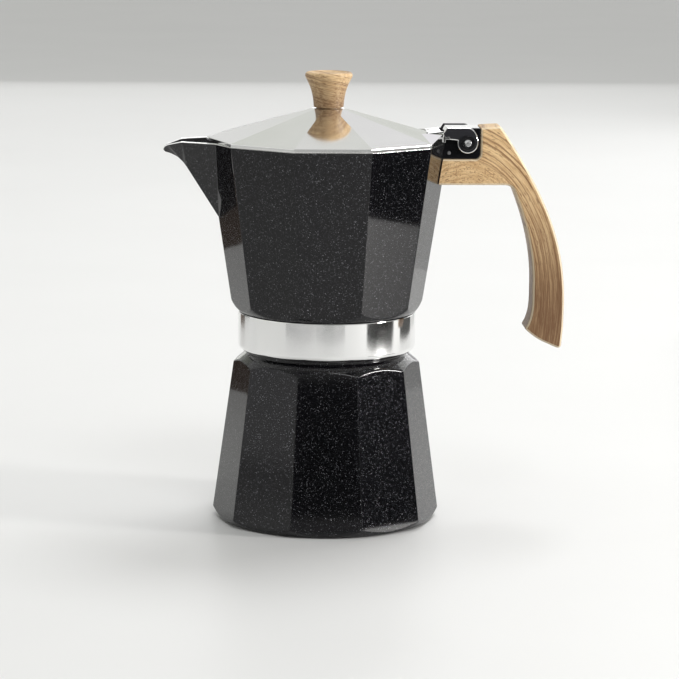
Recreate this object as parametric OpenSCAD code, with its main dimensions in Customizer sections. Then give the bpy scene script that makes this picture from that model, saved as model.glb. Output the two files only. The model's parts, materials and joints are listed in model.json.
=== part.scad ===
// Stove-top moka pot: a ten-sided boiler, a funnel for the coffee, and an upper chamber that
// screws onto the boiler. The origin is on the pot's axis at its resting face, +Z is up,
// +X points to the handle and -X to the spout. All sizes are in millimetres.

/* [Boiler] */
// Radius over the corners of the boiler at its foot
boiler_foot_r = 52; // [51:0.5:53]
// Radius over the corners of the boiler where the facets meet the shoulder
boiler_shoulder_r = 42.66; // [42:0.1:43.5]
// Turn of the boiler about the axis when the pot is screwed tight, in degrees
boiler_turn = -1.8; // [-4:0.1:4]
// Outer radius of the boiler's threaded neck
neck_r = 36.8; // [36.4:0.1:36.9]
// Bore radius of the boiler's neck
neck_bore_r = 33; // [32.8:0.1:33.4]
// Radius of the steel disc in the base
disc_r = 42; // [38:0.5:43]

/* [Safety valve] */
// Height of the valve's axis
valve_z = 45; // [40:1:50]
// Travel of the valve's pin when it lets steam out
valve_travel = 1.5; // [1:0.1:2]

/* [Funnel] */
// Inner radius of the coffee basket
basket_r = 31.8; // [31:0.1:31.9]
// Height of the basket's floor
basket_floor_z = 70.2; // [69:0.1:72]
// Bore radius of the funnel's stem
stem_bore_r = 3.6; // [3.2:0.1:4]
// Height of the stem's lower end
stem_end_z = 8; // [7:0.5:12]

/* [Upper chamber] */
// Radius over the corners of the rim
rim_r = 55.1; // [54.5:0.1:55.5]
// Height of the rim
rim_z = 173.8; // [173:0.1:174]
// Radius over the corners at the foot of the chamber
chamber_foot_r = 43.5; // [43.2:0.1:44]
// Wall thickness, measured over the corners
chamber_wall = 2.9; // [2.4:0.1:3.1]
// Outer radius of the polished collar
collar_r = 40.6; // [40:0.1:41]
// Height of the column that the coffee rises through
column_top_z = 154; // [148:1:160]

/* [Lid] */
// Thickness of the lid's sheet
lid_wall = 1.7; // [1.4:0.1:2]
// Height of the flat under the knob
lid_top_z = 188.6; // [187:0.1:190]
// Height of the knob's top edge
knob_top_z = 205; // [203:0.5:206]
// Radius of the knob's top
knob_r = 10.75; // [10:0.05:11]
// Radius of the knob's foot
knob_foot_r = 6.6; // [6.2:0.1:7]

/* [Hinge] */
// Distance of the hinge's axis from the pot's axis
hinge_x = 62.6; // [62.4:0.1:62.8]
// Height of the hinge's axis
hinge_z = 174; // [173.8:0.1:174.2]
// Radius of the hinge's pin
hinge_pin_r = 1.6; // [1.4:0.1:1.8]
// Half width of the bracket
bracket_half = 8.4; // [8:0.1:8.45]

/* [Handle] */
// Half thickness of the handle
grip_half = 8.5; // [8.2:0.1:8.6]
// Distance of the handle's outer side from the pot's axis
grip_reach = 108.2; // [106:0.1:110]

/* [Hidden] */
$fn = 96;

sides = 10;
half_facet = 180 / sides;
facet_ratio = cos(half_facet);
// How far a cutting shape runs past what it cuts, and the size of the plain cutting blocks
past = 1;
cut = 20;
cut_low_z = 168;
slip = 0.05;
running = 0.05;
clear = 0.4;

// Boiler
disc_proud = 0.4;
disc_top_z = 2.6;
foot_z = 3.7;
foot_chamfer_r = 48.9;
shoulder_z = 72.1;
shoulder_top_z = 76.9;
neck_top_z = 92;
boiler_floor_z = 5.2;
boiler_wall = 3;
boiler_slope = (boiler_shoulder_r - boiler_foot_r) / (shoulder_z - foot_z);
function boiler_corner(z) = boiler_foot_r + boiler_slope * (z - foot_z);
function boiler_cavity(z) = boiler_corner(z) * facet_ratio - boiler_wall;
cavity_top_z = 70;

// Safety valve, on the middle of the facet at the back
valve_angle = 90 + boiler_turn;
boss_r = 8.2;
boss_face = 46.2;
valve_shank_r = 4;
valve_inner = 39.5;
seal_t = 1;
seal_r = 7.2;
hex_t = 6;
hex_r = 7;
valve_chamber_r = 2.9;
valve_outer = boss_face + seal_t + hex_t;
seat_t = 1.2;
cap_t = 2;
piston_r = 2.6;
piston_t = 1.8;
valve_rod_r = 1.2;
rod_stub = 0.7;
valve_seat_gap = 0.5;
spring_gap = 0.1;
spring_bore_gap = 0.4;
piston_start = valve_inner + seat_t + slip;
spring_start = piston_start + piston_t;
spring_end = valve_outer - cap_t;

// Seal between the two halves
basket_rim_r = 35.8;
basket_rim_z = 93;
basket_wall = 0.8;
floor_under_z = 96;
gasket_inner = 28.7;
gasket_outer = 36;
plate_r = 28.4;
plate_dish_r = 25;
plate_t = 0.6;
plate_drop = 0.8;
spigot_inner = 36.3;
spigot_r = 38.8;
spigot_low_z = 92.8;
collar_low_z = 78.2;
collar_bore = neck_r + clear;
collar_round = 3;

// Upper chamber
chamber_foot_z = 98.6;
floor_top_z = 99.2;
chamber_slope = (rim_r - chamber_foot_r) / (rim_z - chamber_foot_z);
function chamber_corner(z) = chamber_foot_r + chamber_slope * (z - chamber_foot_z);
under_r = 14;
under_x = 31.4;
under_z = 107;
column_plug_r = 7;
column_bore_r = 3.2;
column_flange_r = 9;
column_neck_r = 5.4;
column_cap_r = 6.2;
column_port_r = 1.6;

// Lid
lid_rim_z = 175.4;
lid_flat_r = 7.6;
lid_inner_r = rim_r - 2.8;
lid_lip = 1;
lid_band_t = 0.9;
lid_screw_r = 2.2;
screw_r = 1.75;
screw_length = 12;
screw_head_r = 3.4;
screw_head_t = 2;
knob_washer_t = 1;
knob_washer_r = 4.2;
knob_washer_bore = 2;
screw_seat_z = lid_top_z - lid_wall - knob_washer_t;
notch_x = 50.6;
notch_half = 10.8;
ear_in = 8.7;
ear_out = 10.5;
ear_r = 4.8;
ear_top_z = 181;
ear_slot_x = 46.4;
cheek_z = 178.3;
washer_t = 0.65;
washer_r = 3.4;
hinge_pin_half = 11.6;
rivet_x = 45.3;
rivet_y = 5;
lid_rivet_r = 1.3;
lid_rivet_head_r = 2.3;
lid_rivet_low_z = 172.5;
lid_rivet_top_z = 177.3;
bar_low_z = 173.5;
bar_t = 1.3;
bar_x = 43.4;
bar_depth = 3.9;

// Bracket and handle
bracket_low_z = 166.6;
bracket_right_x = 68.5;
bracket_top_z = 180.6;
bracket_sweep = 11.4;
corner_r = 2.5;
tongue_half = 6;
tongue_top_z = 170.8;
tongue_low_z = 160;
arm_low_z = 154.6;
handle_pin_x = 54.3;
handle_pin_z = 169.3;
handle_pin_r = 0.9;
handle_pin_in = 4.2;
handle_pin_proud = 0.1;
wall_gap = 0.4;
bracket_rivet_z = 171.9;
bracket_rivet_r = 0.9;
bracket_rivet_y = 12.3;
bracket_rivet_in = 45.5;
bracket_rivet_out = 55;
rivet_head_in = 47.85;
rivet_head_t = 1.2;
rivet_head_r = 1.8;

function mix(a, b, t) = a * (1 - t) + b * t;
// Point at t on the cubic curve from a to d with the handles b and c
function curve_at(a, b, c, d, t) =
    mix(mix(mix(a, b, t), mix(b, c, t), t), mix(mix(b, c, t), mix(c, d, t), t), t);
function curve(a, b, c, d, steps) = [for (i = [0:steps]) curve_at(a, b, c, d, i / steps)];
// Points on an arc about c from angle a to angle b
function arc(c, r, a, b, steps) =
    [for (i = [0:steps]) c + r * [cos(mix(a, b, i / steps)), sin(mix(a, b, i / steps))]];

// Ten-sided frustum between two heights, with the radii over its corners
module facets(low_z, low_r, high_z, high_r)
    translate([0, 0, low_z])
        cylinder(h = high_z - low_z, r1 = low_r, r2 = high_r, $fn = sides);

module tube(low_z, high_z, outer, inner)
    translate([0, 0, low_z]) difference() {
        cylinder(h = high_z - low_z, r = outer);
        translate([0, 0, -past]) cylinder(h = high_z - low_z + 2 * past, r = inner);
    }

// Outline drawn in X and Z, made solid from -half to half across Y
module slab(half) rotate([90, 0, 0]) translate([0, 0, -half]) linear_extrude(2 * half) children();

// Rod along Y between two distances, at a place in X and Z
module cross_rod(x, z, from_y, to_y, r)
    translate([x, from_y, z]) rotate([-90, 0, 0]) cylinder(h = to_y - from_y, r = r);

module both_sides() {
    children();
    mirror([0, 1, 0]) children();
}

// Rod along the valve's axis, between two distances from the pot's axis
module valve_rod(from, to, r, fn = 96)
    rotate([0, 0, valve_angle]) translate([from, 0, valve_z]) rotate([0, 90, 0])
        cylinder(h = to - from, r = r, $fn = fn);

module solid_of(points)
    hull() polyhedron(points = points, faces = [[for (i = [0:len(points) - 1]) i]]);

function mirrored(points) = [for (p = points) for (s = [-1, 1]) [p[0], s * p[1], p[2]]];

module boiler_body() intersection() {
    rotate([0, 0, boiler_turn])
        facets(disc_proud, boiler_corner(disc_proud), neck_top_z, boiler_corner(neck_top_z));
    rotate_extrude() polygon([
        [0, disc_proud], [foot_chamfer_r, disc_proud],
        [boiler_foot_r + 1.5, foot_z + 1.6], [boiler_foot_r + 1.5, foot_z + 40],
        [boiler_shoulder_r + 4.88, shoulder_z - 4], [neck_r, shoulder_top_z], [0, shoulder_top_z]
    ]);
}

module boiler() color([0.12, 0.12, 0.13]) difference() {
    union() {
        boiler_body();
        translate([0, 0, cavity_top_z]) cylinder(h = neck_top_z - cavity_top_z, r = neck_r);
        valve_rod(valve_inner, boss_face, boss_r);
    }
    rotate_extrude() polygon([
        [0, boiler_floor_z], [boiler_cavity(boiler_floor_z) - 2, boiler_floor_z],
        [boiler_cavity(boiler_floor_z + 2), boiler_floor_z + 2],
        [boiler_cavity(cavity_top_z), cavity_top_z], [neck_bore_r, cavity_top_z + 5.5],
        [neck_bore_r, neck_top_z + past], [0, neck_top_z + past]
    ]);
    cylinder(h = disc_top_z, r = disc_r + slip);
    valve_rod(valve_inner - 3 * past, boss_face + past, valve_shank_r + slip);
}

module induction_disc() color([0.72, 0.72, 0.73]) cylinder(h = disc_top_z, r = disc_r);

module valve_body() color([0.8, 0.62, 0.28]) difference() {
    union() {
        valve_rod(valve_inner, boss_face + seal_t, valve_shank_r);
        valve_rod(boss_face + seal_t, valve_outer, hex_r, 6);
    }
    valve_rod(valve_inner - past, valve_outer + past, valve_rod_r + running);
    valve_rod(valve_inner - past, valve_inner + seat_t, valve_rod_r + valve_seat_gap);
    valve_rod(valve_inner + seat_t, spring_end, valve_chamber_r);
}

module valve_seal() color([0.75, 0.3, 0.2]) difference() {
    valve_rod(boss_face, boss_face + seal_t, seal_r);
    valve_rod(boss_face - past, boss_face + seal_t + past, valve_shank_r + slip);
}

module valve_spring() color([0.7, 0.7, 0.72]) difference() {
    valve_rod(spring_start, spring_end, piston_r - spring_gap);
    valve_rod(spring_start - past, spring_end + past, valve_rod_r + spring_bore_gap);
}

module valve_pin() color([0.75, 0.75, 0.77]) {
    valve_rod(piston_start, spring_start, piston_r);
    valve_rod(spring_start, valve_outer + valve_travel + rod_stub, valve_rod_r);
}

module funnel() color([0.78, 0.79, 0.8]) rotate_extrude() polygon([
    [basket_rim_r, neck_top_z], [basket_rim_r, basket_rim_z], [basket_r, basket_rim_z],
    [basket_r, basket_floor_z], [basket_r - 1.4, basket_floor_z], [stem_bore_r, basket_floor_z - 12],
    [stem_bore_r, stem_end_z], [stem_bore_r + 1, stem_end_z], [stem_bore_r + 1, basket_floor_z - 13],
    [basket_r + basket_wall, basket_floor_z - 1], [basket_r + basket_wall, neck_top_z]
]);

module funnel_screen() color([0.6, 0.61, 0.62])
    translate([0, 0, basket_floor_z]) cylinder(h = basket_wall, r = basket_r - 0.2);

module filter_plate() color([0.7, 0.71, 0.72]) rotate_extrude() polygon([
    [0, floor_under_z - plate_t - plate_drop], [plate_dish_r - 1, floor_under_z - plate_t - plate_drop],
    [plate_dish_r, floor_under_z - plate_t], [plate_r, floor_under_z - plate_t],
    [plate_r, floor_under_z], [plate_dish_r - 0.5, floor_under_z],
    [plate_dish_r - 1.5, floor_under_z - plate_drop], [0, floor_under_z - plate_drop]
]);

module gasket() color([0.93, 0.92, 0.88])
    tube(basket_rim_z, floor_under_z, gasket_outer, gasket_inner);

// The spout is three wedges: the throat on the facets, the beak, and the drooping lip
spout_root = [-49.5, 0, 138.2];
spout_corner = [-44.4, 32.2, rim_z];
spout_cheek = [-51.3, 18.1, rim_z];
spout_bend = [-66.8, 0, 165.1];
spout_beak = [-66.2, 10.4, rim_z];
spout_under = [-70, 0, 167.3];
spout_back = [-40, 16, rim_z];
spout_lip = [-72.4, 5, 172];
spout_edge = [-74, 3, 171.1];
spout_chin = [-74, 0, 168.3];
spout_tip = [-74.9, 0, 169.5];
spout_over_z = rim_z + 2;

module spout_outside() {
    solid_of(concat([spout_root, spout_bend], mirrored([spout_corner, spout_cheek, spout_back])));
    solid_of(concat([spout_bend, spout_under], mirrored([spout_cheek, spout_beak])));
    solid_of(concat([spout_under, spout_chin, spout_tip], mirrored([spout_beak, spout_lip, spout_edge])));
}

module spout_inside() {
    throat_bend = [-63.6, 0, 166.2];
    throat_under = [-68.6, 0, 168.9];
    throat_cheek = [-50.2, 15.8, spout_over_z];
    throat_beak = [-65, 8.4, spout_over_z];
    solid_of(concat([[-46.2, 0, 141.6], throat_bend],
        mirrored([throat_cheek, [-42, 10, 150], [-42, 20, spout_over_z]])));
    solid_of(concat([throat_bend, throat_under], mirrored([throat_cheek, throat_beak])));
    solid_of(concat([throat_under], mirrored([throat_beak, [-76, 1.4, 170.3], [-76, 2, spout_over_z]])));
}

module upper_chamber() color([0.14, 0.14, 0.15]) difference() {
    union() {
        intersection() {
            facets(floor_under_z, chamber_corner(floor_under_z), rim_z, rim_r);
            rotate_extrude() polygon(concat([[0, floor_under_z]],
                arc([under_x, under_z], under_r, -51.8, -5, 12), [[60, 115], [60, rim_z], [0, rim_z]]));
        }
        spout_outside();
        tube(spigot_low_z, floor_under_z, spigot_r, spigot_inner);
    }
    facets(floor_top_z, chamber_corner(floor_top_z) - chamber_wall,
        spout_over_z, chamber_corner(spout_over_z) - chamber_wall);
    spout_inside();
    translate([0, 0, floor_under_z - past])
        cylinder(h = floor_top_z - floor_under_z + 2 * past, r = column_plug_r + slip);
    both_sides() facet_rod(bracket_rivet_in, bracket_rivet_out, bracket_rivet_r + slip);
}

module threaded_collar() color([0.86, 0.86, 0.86]) rotate_extrude() polygon(concat(
    [[collar_bore, floor_under_z - 3], [collar_bore, collar_low_z]],
    arc([collar_r - collar_round, collar_low_z + collar_round], collar_round, -90, 0, 8),
    [[collar_r, floor_under_z - 0.4], [collar_r - 0.4, floor_under_z],
     [spigot_r + slip, floor_under_z], [spigot_r + slip, spigot_low_z - slip],
     [collar_bore, spigot_low_z - slip]]
));

module coffee_column() color([0.8, 0.8, 0.8]) difference() {
    rotate_extrude() polygon([
        [0, floor_under_z], [column_plug_r, floor_under_z], [column_plug_r, floor_top_z],
        [column_flange_r, floor_top_z], [column_flange_r, floor_top_z + 1], [7.6, floor_top_z + 2],
        [column_neck_r, column_top_z - 8], [column_cap_r, column_top_z - 7],
        [column_cap_r, column_top_z - 3],
        [3, column_top_z - 0.6], [0, column_top_z]
    ]);
    translate([0, 0, floor_under_z - past])
        cylinder(h = column_top_z - floor_under_z - 4, r = column_bore_r);
    translate([-cut / 2, 0, column_top_z - 6.2]) rotate([0, 90, 0])
        cylinder(h = cut, r = column_port_r);
}

// Outline of the bracket: it turns a round corner under the hinge and is swept clear of the lid
module bracket_outline() polygon(concat(
    [[50, bracket_low_z]],
    arc([bracket_right_x - corner_r, bracket_low_z + corner_r], corner_r, -90, 0, 8),
    [[bracket_right_x, bracket_top_z]],
    arc([hinge_x, hinge_z], bracket_sweep, 180 - asin((bracket_top_z - hinge_z) / bracket_sweep), 180, 8),
    [[hinge_x - bracket_sweep, rim_z], [50, rim_z]]
));

// Rod square to the facet beside the bracket, between two distances from the pot's axis
module facet_rod(from, to, r) rotate([0, 0, half_facet])
    translate([from, -bracket_rivet_y, bracket_rivet_z]) rotate([0, 90, 0])
        cylinder(h = to - from, r = r);

module hinge_bracket() color([0.05, 0.05, 0.06]) difference() {
    slab(bracket_half) bracket_outline();
    facets(floor_under_z, chamber_corner(floor_under_z) + slip, rim_z, rim_r + slip);
    translate([40, -tongue_half - slip, tongue_low_z])
        cube([50, 2 * (tongue_half + slip), tongue_top_z - tongue_low_z]);
    cross_rod(hinge_x, hinge_z, -cut, cut, hinge_pin_r + slip);
    cross_rod(handle_pin_x, handle_pin_z, -cut, cut, handle_pin_r + slip);
    both_sides() facet_rod(bracket_rivet_in, bracket_rivet_out, bracket_rivet_r + slip);
}

module bracket_rivets() color([0.75, 0.75, 0.76]) both_sides() {
    facet_rod(rivet_head_in, bracket_rivet_out, bracket_rivet_r);
    facet_rod(rivet_head_in, rivet_head_in + rivet_head_t, rivet_head_r);
}

module hinge_pin() color([0.85, 0.85, 0.86])
    cross_rod(hinge_x, hinge_z, -hinge_pin_half, hinge_pin_half, hinge_pin_r);

module hinge_washers() color([0.1, 0.1, 0.11]) both_sides() difference() {
    cross_rod(hinge_x, hinge_z, ear_out + slip, ear_out + slip + washer_t, washer_r);
    cross_rod(hinge_x, hinge_z, ear_out - past, ear_out + 2 * past, hinge_pin_r + running);
}

module grip_outline() polygon(concat(
    [[44, bracket_low_z - 0.1]],
    arc([bracket_right_x + 0.1 - corner_r, bracket_low_z - 0.1 + corner_r], corner_r, -90, 0, 6),
    [[bracket_right_x + 0.1, 180.8], [77.6, 181.3]],
    curve([79.7, 178.5], [97.2, 151.7], [grip_reach, 131], [grip_reach, 100], 14),
    curve([grip_reach - 0.2, 90], [107.6, 80], [107, 79.2], [104.5, 80.3], 5),
    curve([100.4, 81.9], [97, 83.3], [93, 86], [90.4, 88.5], 4),
    curve([91.6, 90.5], [93.4, 95], [93.6, 99], [93.6, 104], 5),
    curve([93.6, 110], [93.4, 122], [91, 135], [84.8, 150.5], 10),
    curve([84.2, 152.2], [83.2, 153.8], [82, arm_low_z], [80, arm_low_z], 4),
    [[44, arm_low_z]]
));

module handle_grip() color([0.78, 0.6, 0.36]) difference() {
    union() {
        slab(grip_half) grip_outline();
        translate([50, -tongue_half, tongue_low_z])
            cube([bracket_right_x - 50, 2 * tongue_half, tongue_top_z - slip - tongue_low_z]);
    }
    facets(floor_under_z, chamber_corner(floor_under_z) + wall_gap, rim_z, rim_r + wall_gap);
    both_sides() cross_rod(handle_pin_x, handle_pin_z, handle_pin_in - slip, cut, handle_pin_r + slip);
}

module handle_pins() color([0.75, 0.75, 0.77])
    both_sides() cross_rod(handle_pin_x, handle_pin_z, handle_pin_in, grip_half + handle_pin_proud,
        handle_pin_r);

module lid_rivet_shank(low_z, high_z, r)
    translate([rivet_x, rivet_y, low_z]) cylinder(h = high_z - low_z, r = r);

// Raised wedge on the lid beside each hinge ear
module lid_wedge() solid_of([
    [44.58, 32.38, lid_rim_z], [51.6, notch_half, lid_rim_z - 0.8], [51.6, notch_half, cheek_z],
    [41.2, notch_half, cheek_z - 0.1], [41.2, notch_half, lid_rim_z + 1.8], [44, 30, lid_rim_z - 0.2]
]);

module lid() color([0.85, 0.85, 0.84]) difference() {
    union() {
        facets(rim_z, rim_r, lid_rim_z, rim_r);
        facets(lid_rim_z, rim_r, lid_top_z, lid_flat_r);
        both_sides() lid_wedge();
    }
    facets(rim_z - past, lid_inner_r, lid_rim_z - lid_band_t, lid_inner_r - lid_lip);
    facets(lid_rim_z - lid_band_t - slip, lid_inner_r - lid_lip, lid_top_z - lid_wall, lid_flat_r);
    translate([notch_x, -notch_half, cut_low_z]) cube([cut, 2 * notch_half, cut]);
    both_sides() translate([ear_slot_x, ear_in - clear, cut_low_z])
        cube([cut, notch_half - ear_in + clear, cut]);
    translate([0, 0, lid_rim_z]) cylinder(h = cut, r = lid_screw_r);
    both_sides() lid_rivet_shank(cut_low_z, cut_low_z + cut, lid_rivet_r + slip);
}

module ear_outline() {
    translate([hinge_x, hinge_z]) circle(r = ear_r);
    polygon(concat(
        curve([hinge_x + ear_r, hinge_z], [hinge_x + ear_r, hinge_z + 3.2],
            [hinge_x + 3, ear_top_z], [hinge_x - 0.2, ear_top_z], 8),
        [[52.9, ear_top_z], [51.6, 178.9], [ear_slot_x + 0.1, cheek_z], [ear_slot_x + 0.1, 174.2],
         [52.8, 174.2], [52.8, 175.6], [57.7, 175.1], [hinge_x, hinge_z]]
    ));
}

module lid_hinge() color([0.05, 0.05, 0.06]) difference() {
    union() {
        both_sides() translate([0, (ear_in + ear_out) / 2, 0])
            slab((ear_out - ear_in) / 2) ear_outline();
        translate([bar_x, -ear_out, bar_low_z]) cube([bar_depth, 2 * ear_out, bar_t]);
    }
    cross_rod(hinge_x, hinge_z, -cut, cut, hinge_pin_r + running);
    both_sides() lid_rivet_shank(cut_low_z, cut_low_z + cut, lid_rivet_r + slip);
}

module lid_rivets() color([0.75, 0.75, 0.76]) both_sides() {
    lid_rivet_shank(lid_rivet_low_z, lid_rivet_top_z, lid_rivet_r);
    lid_rivet_shank(lid_rivet_low_z, bar_low_z, lid_rivet_head_r);
}

module knob() color([0.78, 0.6, 0.36]) difference() {
    rotate_extrude() polygon(concat(
        [[0, lid_top_z], [knob_foot_r, lid_top_z]],
        curve([knob_foot_r + 0.2, lid_top_z + 1], [knob_foot_r + 0.6, lid_top_z + 7],
            [knob_r - 2.4, lid_top_z + 10], [knob_r - 0.2, knob_top_z - 2.4], 8),
        curve([knob_r, knob_top_z - 1.6], [knob_r, knob_top_z - 0.6],
            [knob_r - 0.6, knob_top_z], [knob_r - 1.6, knob_top_z], 4),
        [[knob_r - 3.4, knob_top_z - 0.6], [0, knob_top_z - 1]]
    ));
    translate([0, 0, lid_top_z - past]) cylinder(h = screw_length - past, r = screw_r + slip);
}

module knob_screw() color([0.8, 0.8, 0.81]) {
    translate([0, 0, screw_seat_z - screw_head_t]) cylinder(h = screw_head_t, r = screw_head_r);
    translate([0, 0, screw_seat_z]) cylinder(h = screw_length, r = screw_r);
}

module knob_washer() color([0.8, 0.8, 0.81])
    tube(screw_seat_z, screw_seat_z + knob_washer_t, knob_washer_r, knob_washer_bore);

boiler();
induction_disc();
valve_body();
valve_seal();
valve_spring();
valve_pin();
funnel();
funnel_screen();
filter_plate();
gasket();
upper_chamber();
threaded_collar();
coffee_column();
hinge_bracket();
bracket_rivets();
hinge_pin();
hinge_washers();
handle_grip();
handle_pins();
lid();
lid_hinge();
lid_rivets();
knob();
knob_screw();
knob_washer();
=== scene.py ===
"""Looks for a ten-sided stove-top moka pot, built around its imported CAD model.

Lengths in this file are in millimetres until a mesh is made, when MM turns them into metres. The
pot's axis is Z, +X points to the handle, -X to the spout and +Y to the safety valve.
"""

import json
import math

import bmesh
import bpy
from mathutils import Matrix, Vector


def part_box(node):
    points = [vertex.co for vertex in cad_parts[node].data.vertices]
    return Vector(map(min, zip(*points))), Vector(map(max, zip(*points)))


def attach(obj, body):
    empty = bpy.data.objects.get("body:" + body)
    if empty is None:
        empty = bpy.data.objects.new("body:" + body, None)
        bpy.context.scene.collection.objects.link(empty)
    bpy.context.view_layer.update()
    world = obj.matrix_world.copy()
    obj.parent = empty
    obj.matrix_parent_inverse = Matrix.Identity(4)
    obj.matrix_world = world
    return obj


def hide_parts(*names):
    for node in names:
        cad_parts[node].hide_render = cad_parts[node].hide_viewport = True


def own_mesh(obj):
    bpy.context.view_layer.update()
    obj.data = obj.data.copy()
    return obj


MM = 0.001
SIDES = 10
HALF_FACET = math.pi / SIDES
FACET_RATIO = math.cos(HALF_FACET)

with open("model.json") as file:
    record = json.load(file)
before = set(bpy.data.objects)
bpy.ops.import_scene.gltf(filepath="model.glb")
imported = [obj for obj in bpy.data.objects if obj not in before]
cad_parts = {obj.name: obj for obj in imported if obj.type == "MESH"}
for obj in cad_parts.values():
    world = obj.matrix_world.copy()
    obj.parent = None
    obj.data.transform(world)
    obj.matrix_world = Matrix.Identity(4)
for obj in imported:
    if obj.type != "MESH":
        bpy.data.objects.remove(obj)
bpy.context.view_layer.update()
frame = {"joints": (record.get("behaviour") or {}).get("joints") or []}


# ---------------------------------------------------------------- places taken from the frame


def low(node, axis):
    """Lowest place of a CAD node along an axis, in millimetres."""
    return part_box(node)[0]["xyz".index(axis)] / MM


def high(node, axis):
    """Highest place of a CAD node along an axis, in millimetres."""
    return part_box(node)[1]["xyz".index(axis)] / MM


def joint(name):
    return next(j for j in frame["joints"] if j["name"] == name)


HINGE_X, _, HINGE_Z = (v / MM for v in joint("lid_hinge")["pos_m"])
VALVE_AXIS = Vector(joint("valve_travel")["axis"])
THREAD_PITCH = joint("thread_rise")["range_m"][1] / MM

BOILER_LOW = low("boiler", "z")
NECK_TOP = high("boiler", "z")
FLOOR_WALL = 3.2
EAR_THICK = 1.8
NECK_R = 36.8
NECK_BORE = 33.0
BOILER_TURN = math.radians(-1.8)
DISC_R = high("induction_disc", "x")
DISC_TOP = high("induction_disc", "z")
CHAMBER_LOW = high("threaded_collar", "z")
CHAMBER_FLOOR = low("coffee_column", "z") + FLOOR_WALL
RIM_Z = low("lid", "z")
RIM_R = high("lid_hinge", "x") - 12.3
COLLAR_R = high("threaded_collar", "x")
COLLAR_LOW = low("threaded_collar", "z")
LID_TOP = low("knob", "z")
LID_WALL = LID_TOP - high("knob_washer", "z")
KNOB_R = high("knob", "x")
KNOB_TOP = high("knob", "z")
GRIP_HALF = high("handle_grip", "y")
GRIP_REACH = high("handle_grip", "x")
ARM_TOP = low("hinge_bracket", "z") - 0.1
BRACKET_RIGHT = high("hinge_bracket", "x")
BRACKET_TOP = high("hinge_bracket", "z")
BRACKET_HALF = high("hinge_bracket", "y")
EAR_OUT = high("lid_hinge", "y")
EAR_IN = EAR_OUT - EAR_THICK
PIN_R = 1.6
SMALL_PIN_R = 0.9
COLUMN_R = 7.0
WALL = 2.9
SLIP = 0.05


# ---------------------------------------------------------------- shapes in the plane


def mix(a, b, t):
    return a * (1 - t) + b * t


def span(a, b, steps):
    """Evenly spaced values from a to b, both included."""
    return [mix(a, b, i / steps) for i in range(steps + 1)]


def curve(a, b, c, d, steps):
    """Points on the cubic curve from a to d with the handles b and c."""
    a, b, c, d = Vector(a), Vector(b), Vector(c), Vector(d)
    points = []
    for t in span(0, 1, steps):
        points.append(a * (1 - t) ** 3 + b * 3 * t * (1 - t) ** 2 + c * 3 * t * t * (1 - t) + d * t ** 3)
    return points


def arc(centre, radius, start, end, steps):
    """Points on an arc, with its angles in degrees."""
    angles = [math.radians(a) for a in span(start, end, steps)]
    return [Vector((centre[0] + radius * math.cos(a), centre[1] + radius * math.sin(a))) for a in angles]


# Half the angle at which a corner counts as straight, and how much of a side its rounding may take
NEARLY_STRAIGHT = 1.5
LONGEST_SHARE = 0.48


def rounded(points, radius, steps=4, closed=True):
    """The outline with its corners rounded. A point's third number is a radius of its own."""
    corners = [(Vector(p[:2]), p[2] if len(p) > 2 else radius) for p in points]
    result = []
    for i, (corner, r) in enumerate(corners):
        if not closed and i in (0, len(corners) - 1):
            result.append(corner)
            continue
        before = corners[i - 1][0] - corner
        after = corners[(i + 1) % len(corners)][0] - corner
        half = before.angle(after) / 2
        if half > NEARLY_STRAIGHT or r == 0:
            result.append(corner)
            continue
        reach = min(r / math.tan(half), before.length * LONGEST_SHARE, after.length * LONGEST_SHARE)
        r = reach * math.tan(half)
        before.normalize()
        after.normalize()
        centre = corner + (before + after).normalized() * (r / math.sin(half))
        first, last = corner + before * reach - centre, corner + after * reach - centre
        sweep = math.pi - 2 * half
        for t in span(0, 1, steps):
            swing = first * math.sin((1 - t) * sweep) + last * math.sin(t * sweep)
            result.append(centre + swing / math.sin(sweep))
    return result


SHARPEST_MITRE = 0.35
SMALLEST_RADIUS = 0.04


def inset(corners, distance, steps=4):
    """The closed outline moved inwards and then rounded, so that small corners don't cross
    themselves. Corners are (x, y) or (x, y, radius)."""
    points = [Vector(c[:2]) for c in corners]
    area = sum(a.x * b.y - b.x * a.y for a, b in zip(points, points[1:] + points[:1]))
    turn_way = 1 if area > 0 else -1
    moved = []
    for i, p in enumerate(points):
        into = (p - points[i - 1]).normalized()
        out = (points[(i + 1) % len(points)] - p).normalized()
        normal = Vector((-into.y - out.y, into.x + out.x)).normalized() * turn_way
        mitre = max(SHARPEST_MITRE, normal.dot(Vector((-out.y, out.x)) * turn_way))
        place_now = p + normal * (distance / mitre)
        radius = corners[i][2] if len(corners[i]) > 2 else 0
        if radius:
            convex = (into.x * out.y - into.y * out.x) * turn_way > 0
            radius = max(radius - distance, SMALLEST_RADIUS) if convex else radius + distance
        moved.append((*place_now, radius))
    return rounded(moved, 0, steps)


# ---------------------------------------------------------------- meshes


DOUBLED = 0.002


def new_object(name, verts, faces):
    mesh = bpy.data.meshes.new(name)
    mesh.from_pydata([Vector(v) * MM for v in verts], [], faces)
    obj = bpy.data.objects.new(name, mesh)
    bpy.context.scene.collection.objects.link(obj)
    clean(obj)
    return obj


def clean(obj):
    """Joins doubled points and turns every face outwards."""
    work = bmesh.new()
    work.from_mesh(obj.data)
    bmesh.ops.remove_doubles(work, verts=work.verts, dist=DOUBLED * MM)
    bmesh.ops.dissolve_degenerate(work, edges=work.edges, dist=DOUBLED / 2 * MM)
    bmesh.ops.recalc_face_normals(work, faces=work.faces)
    work.to_mesh(obj.data)
    work.free()


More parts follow.
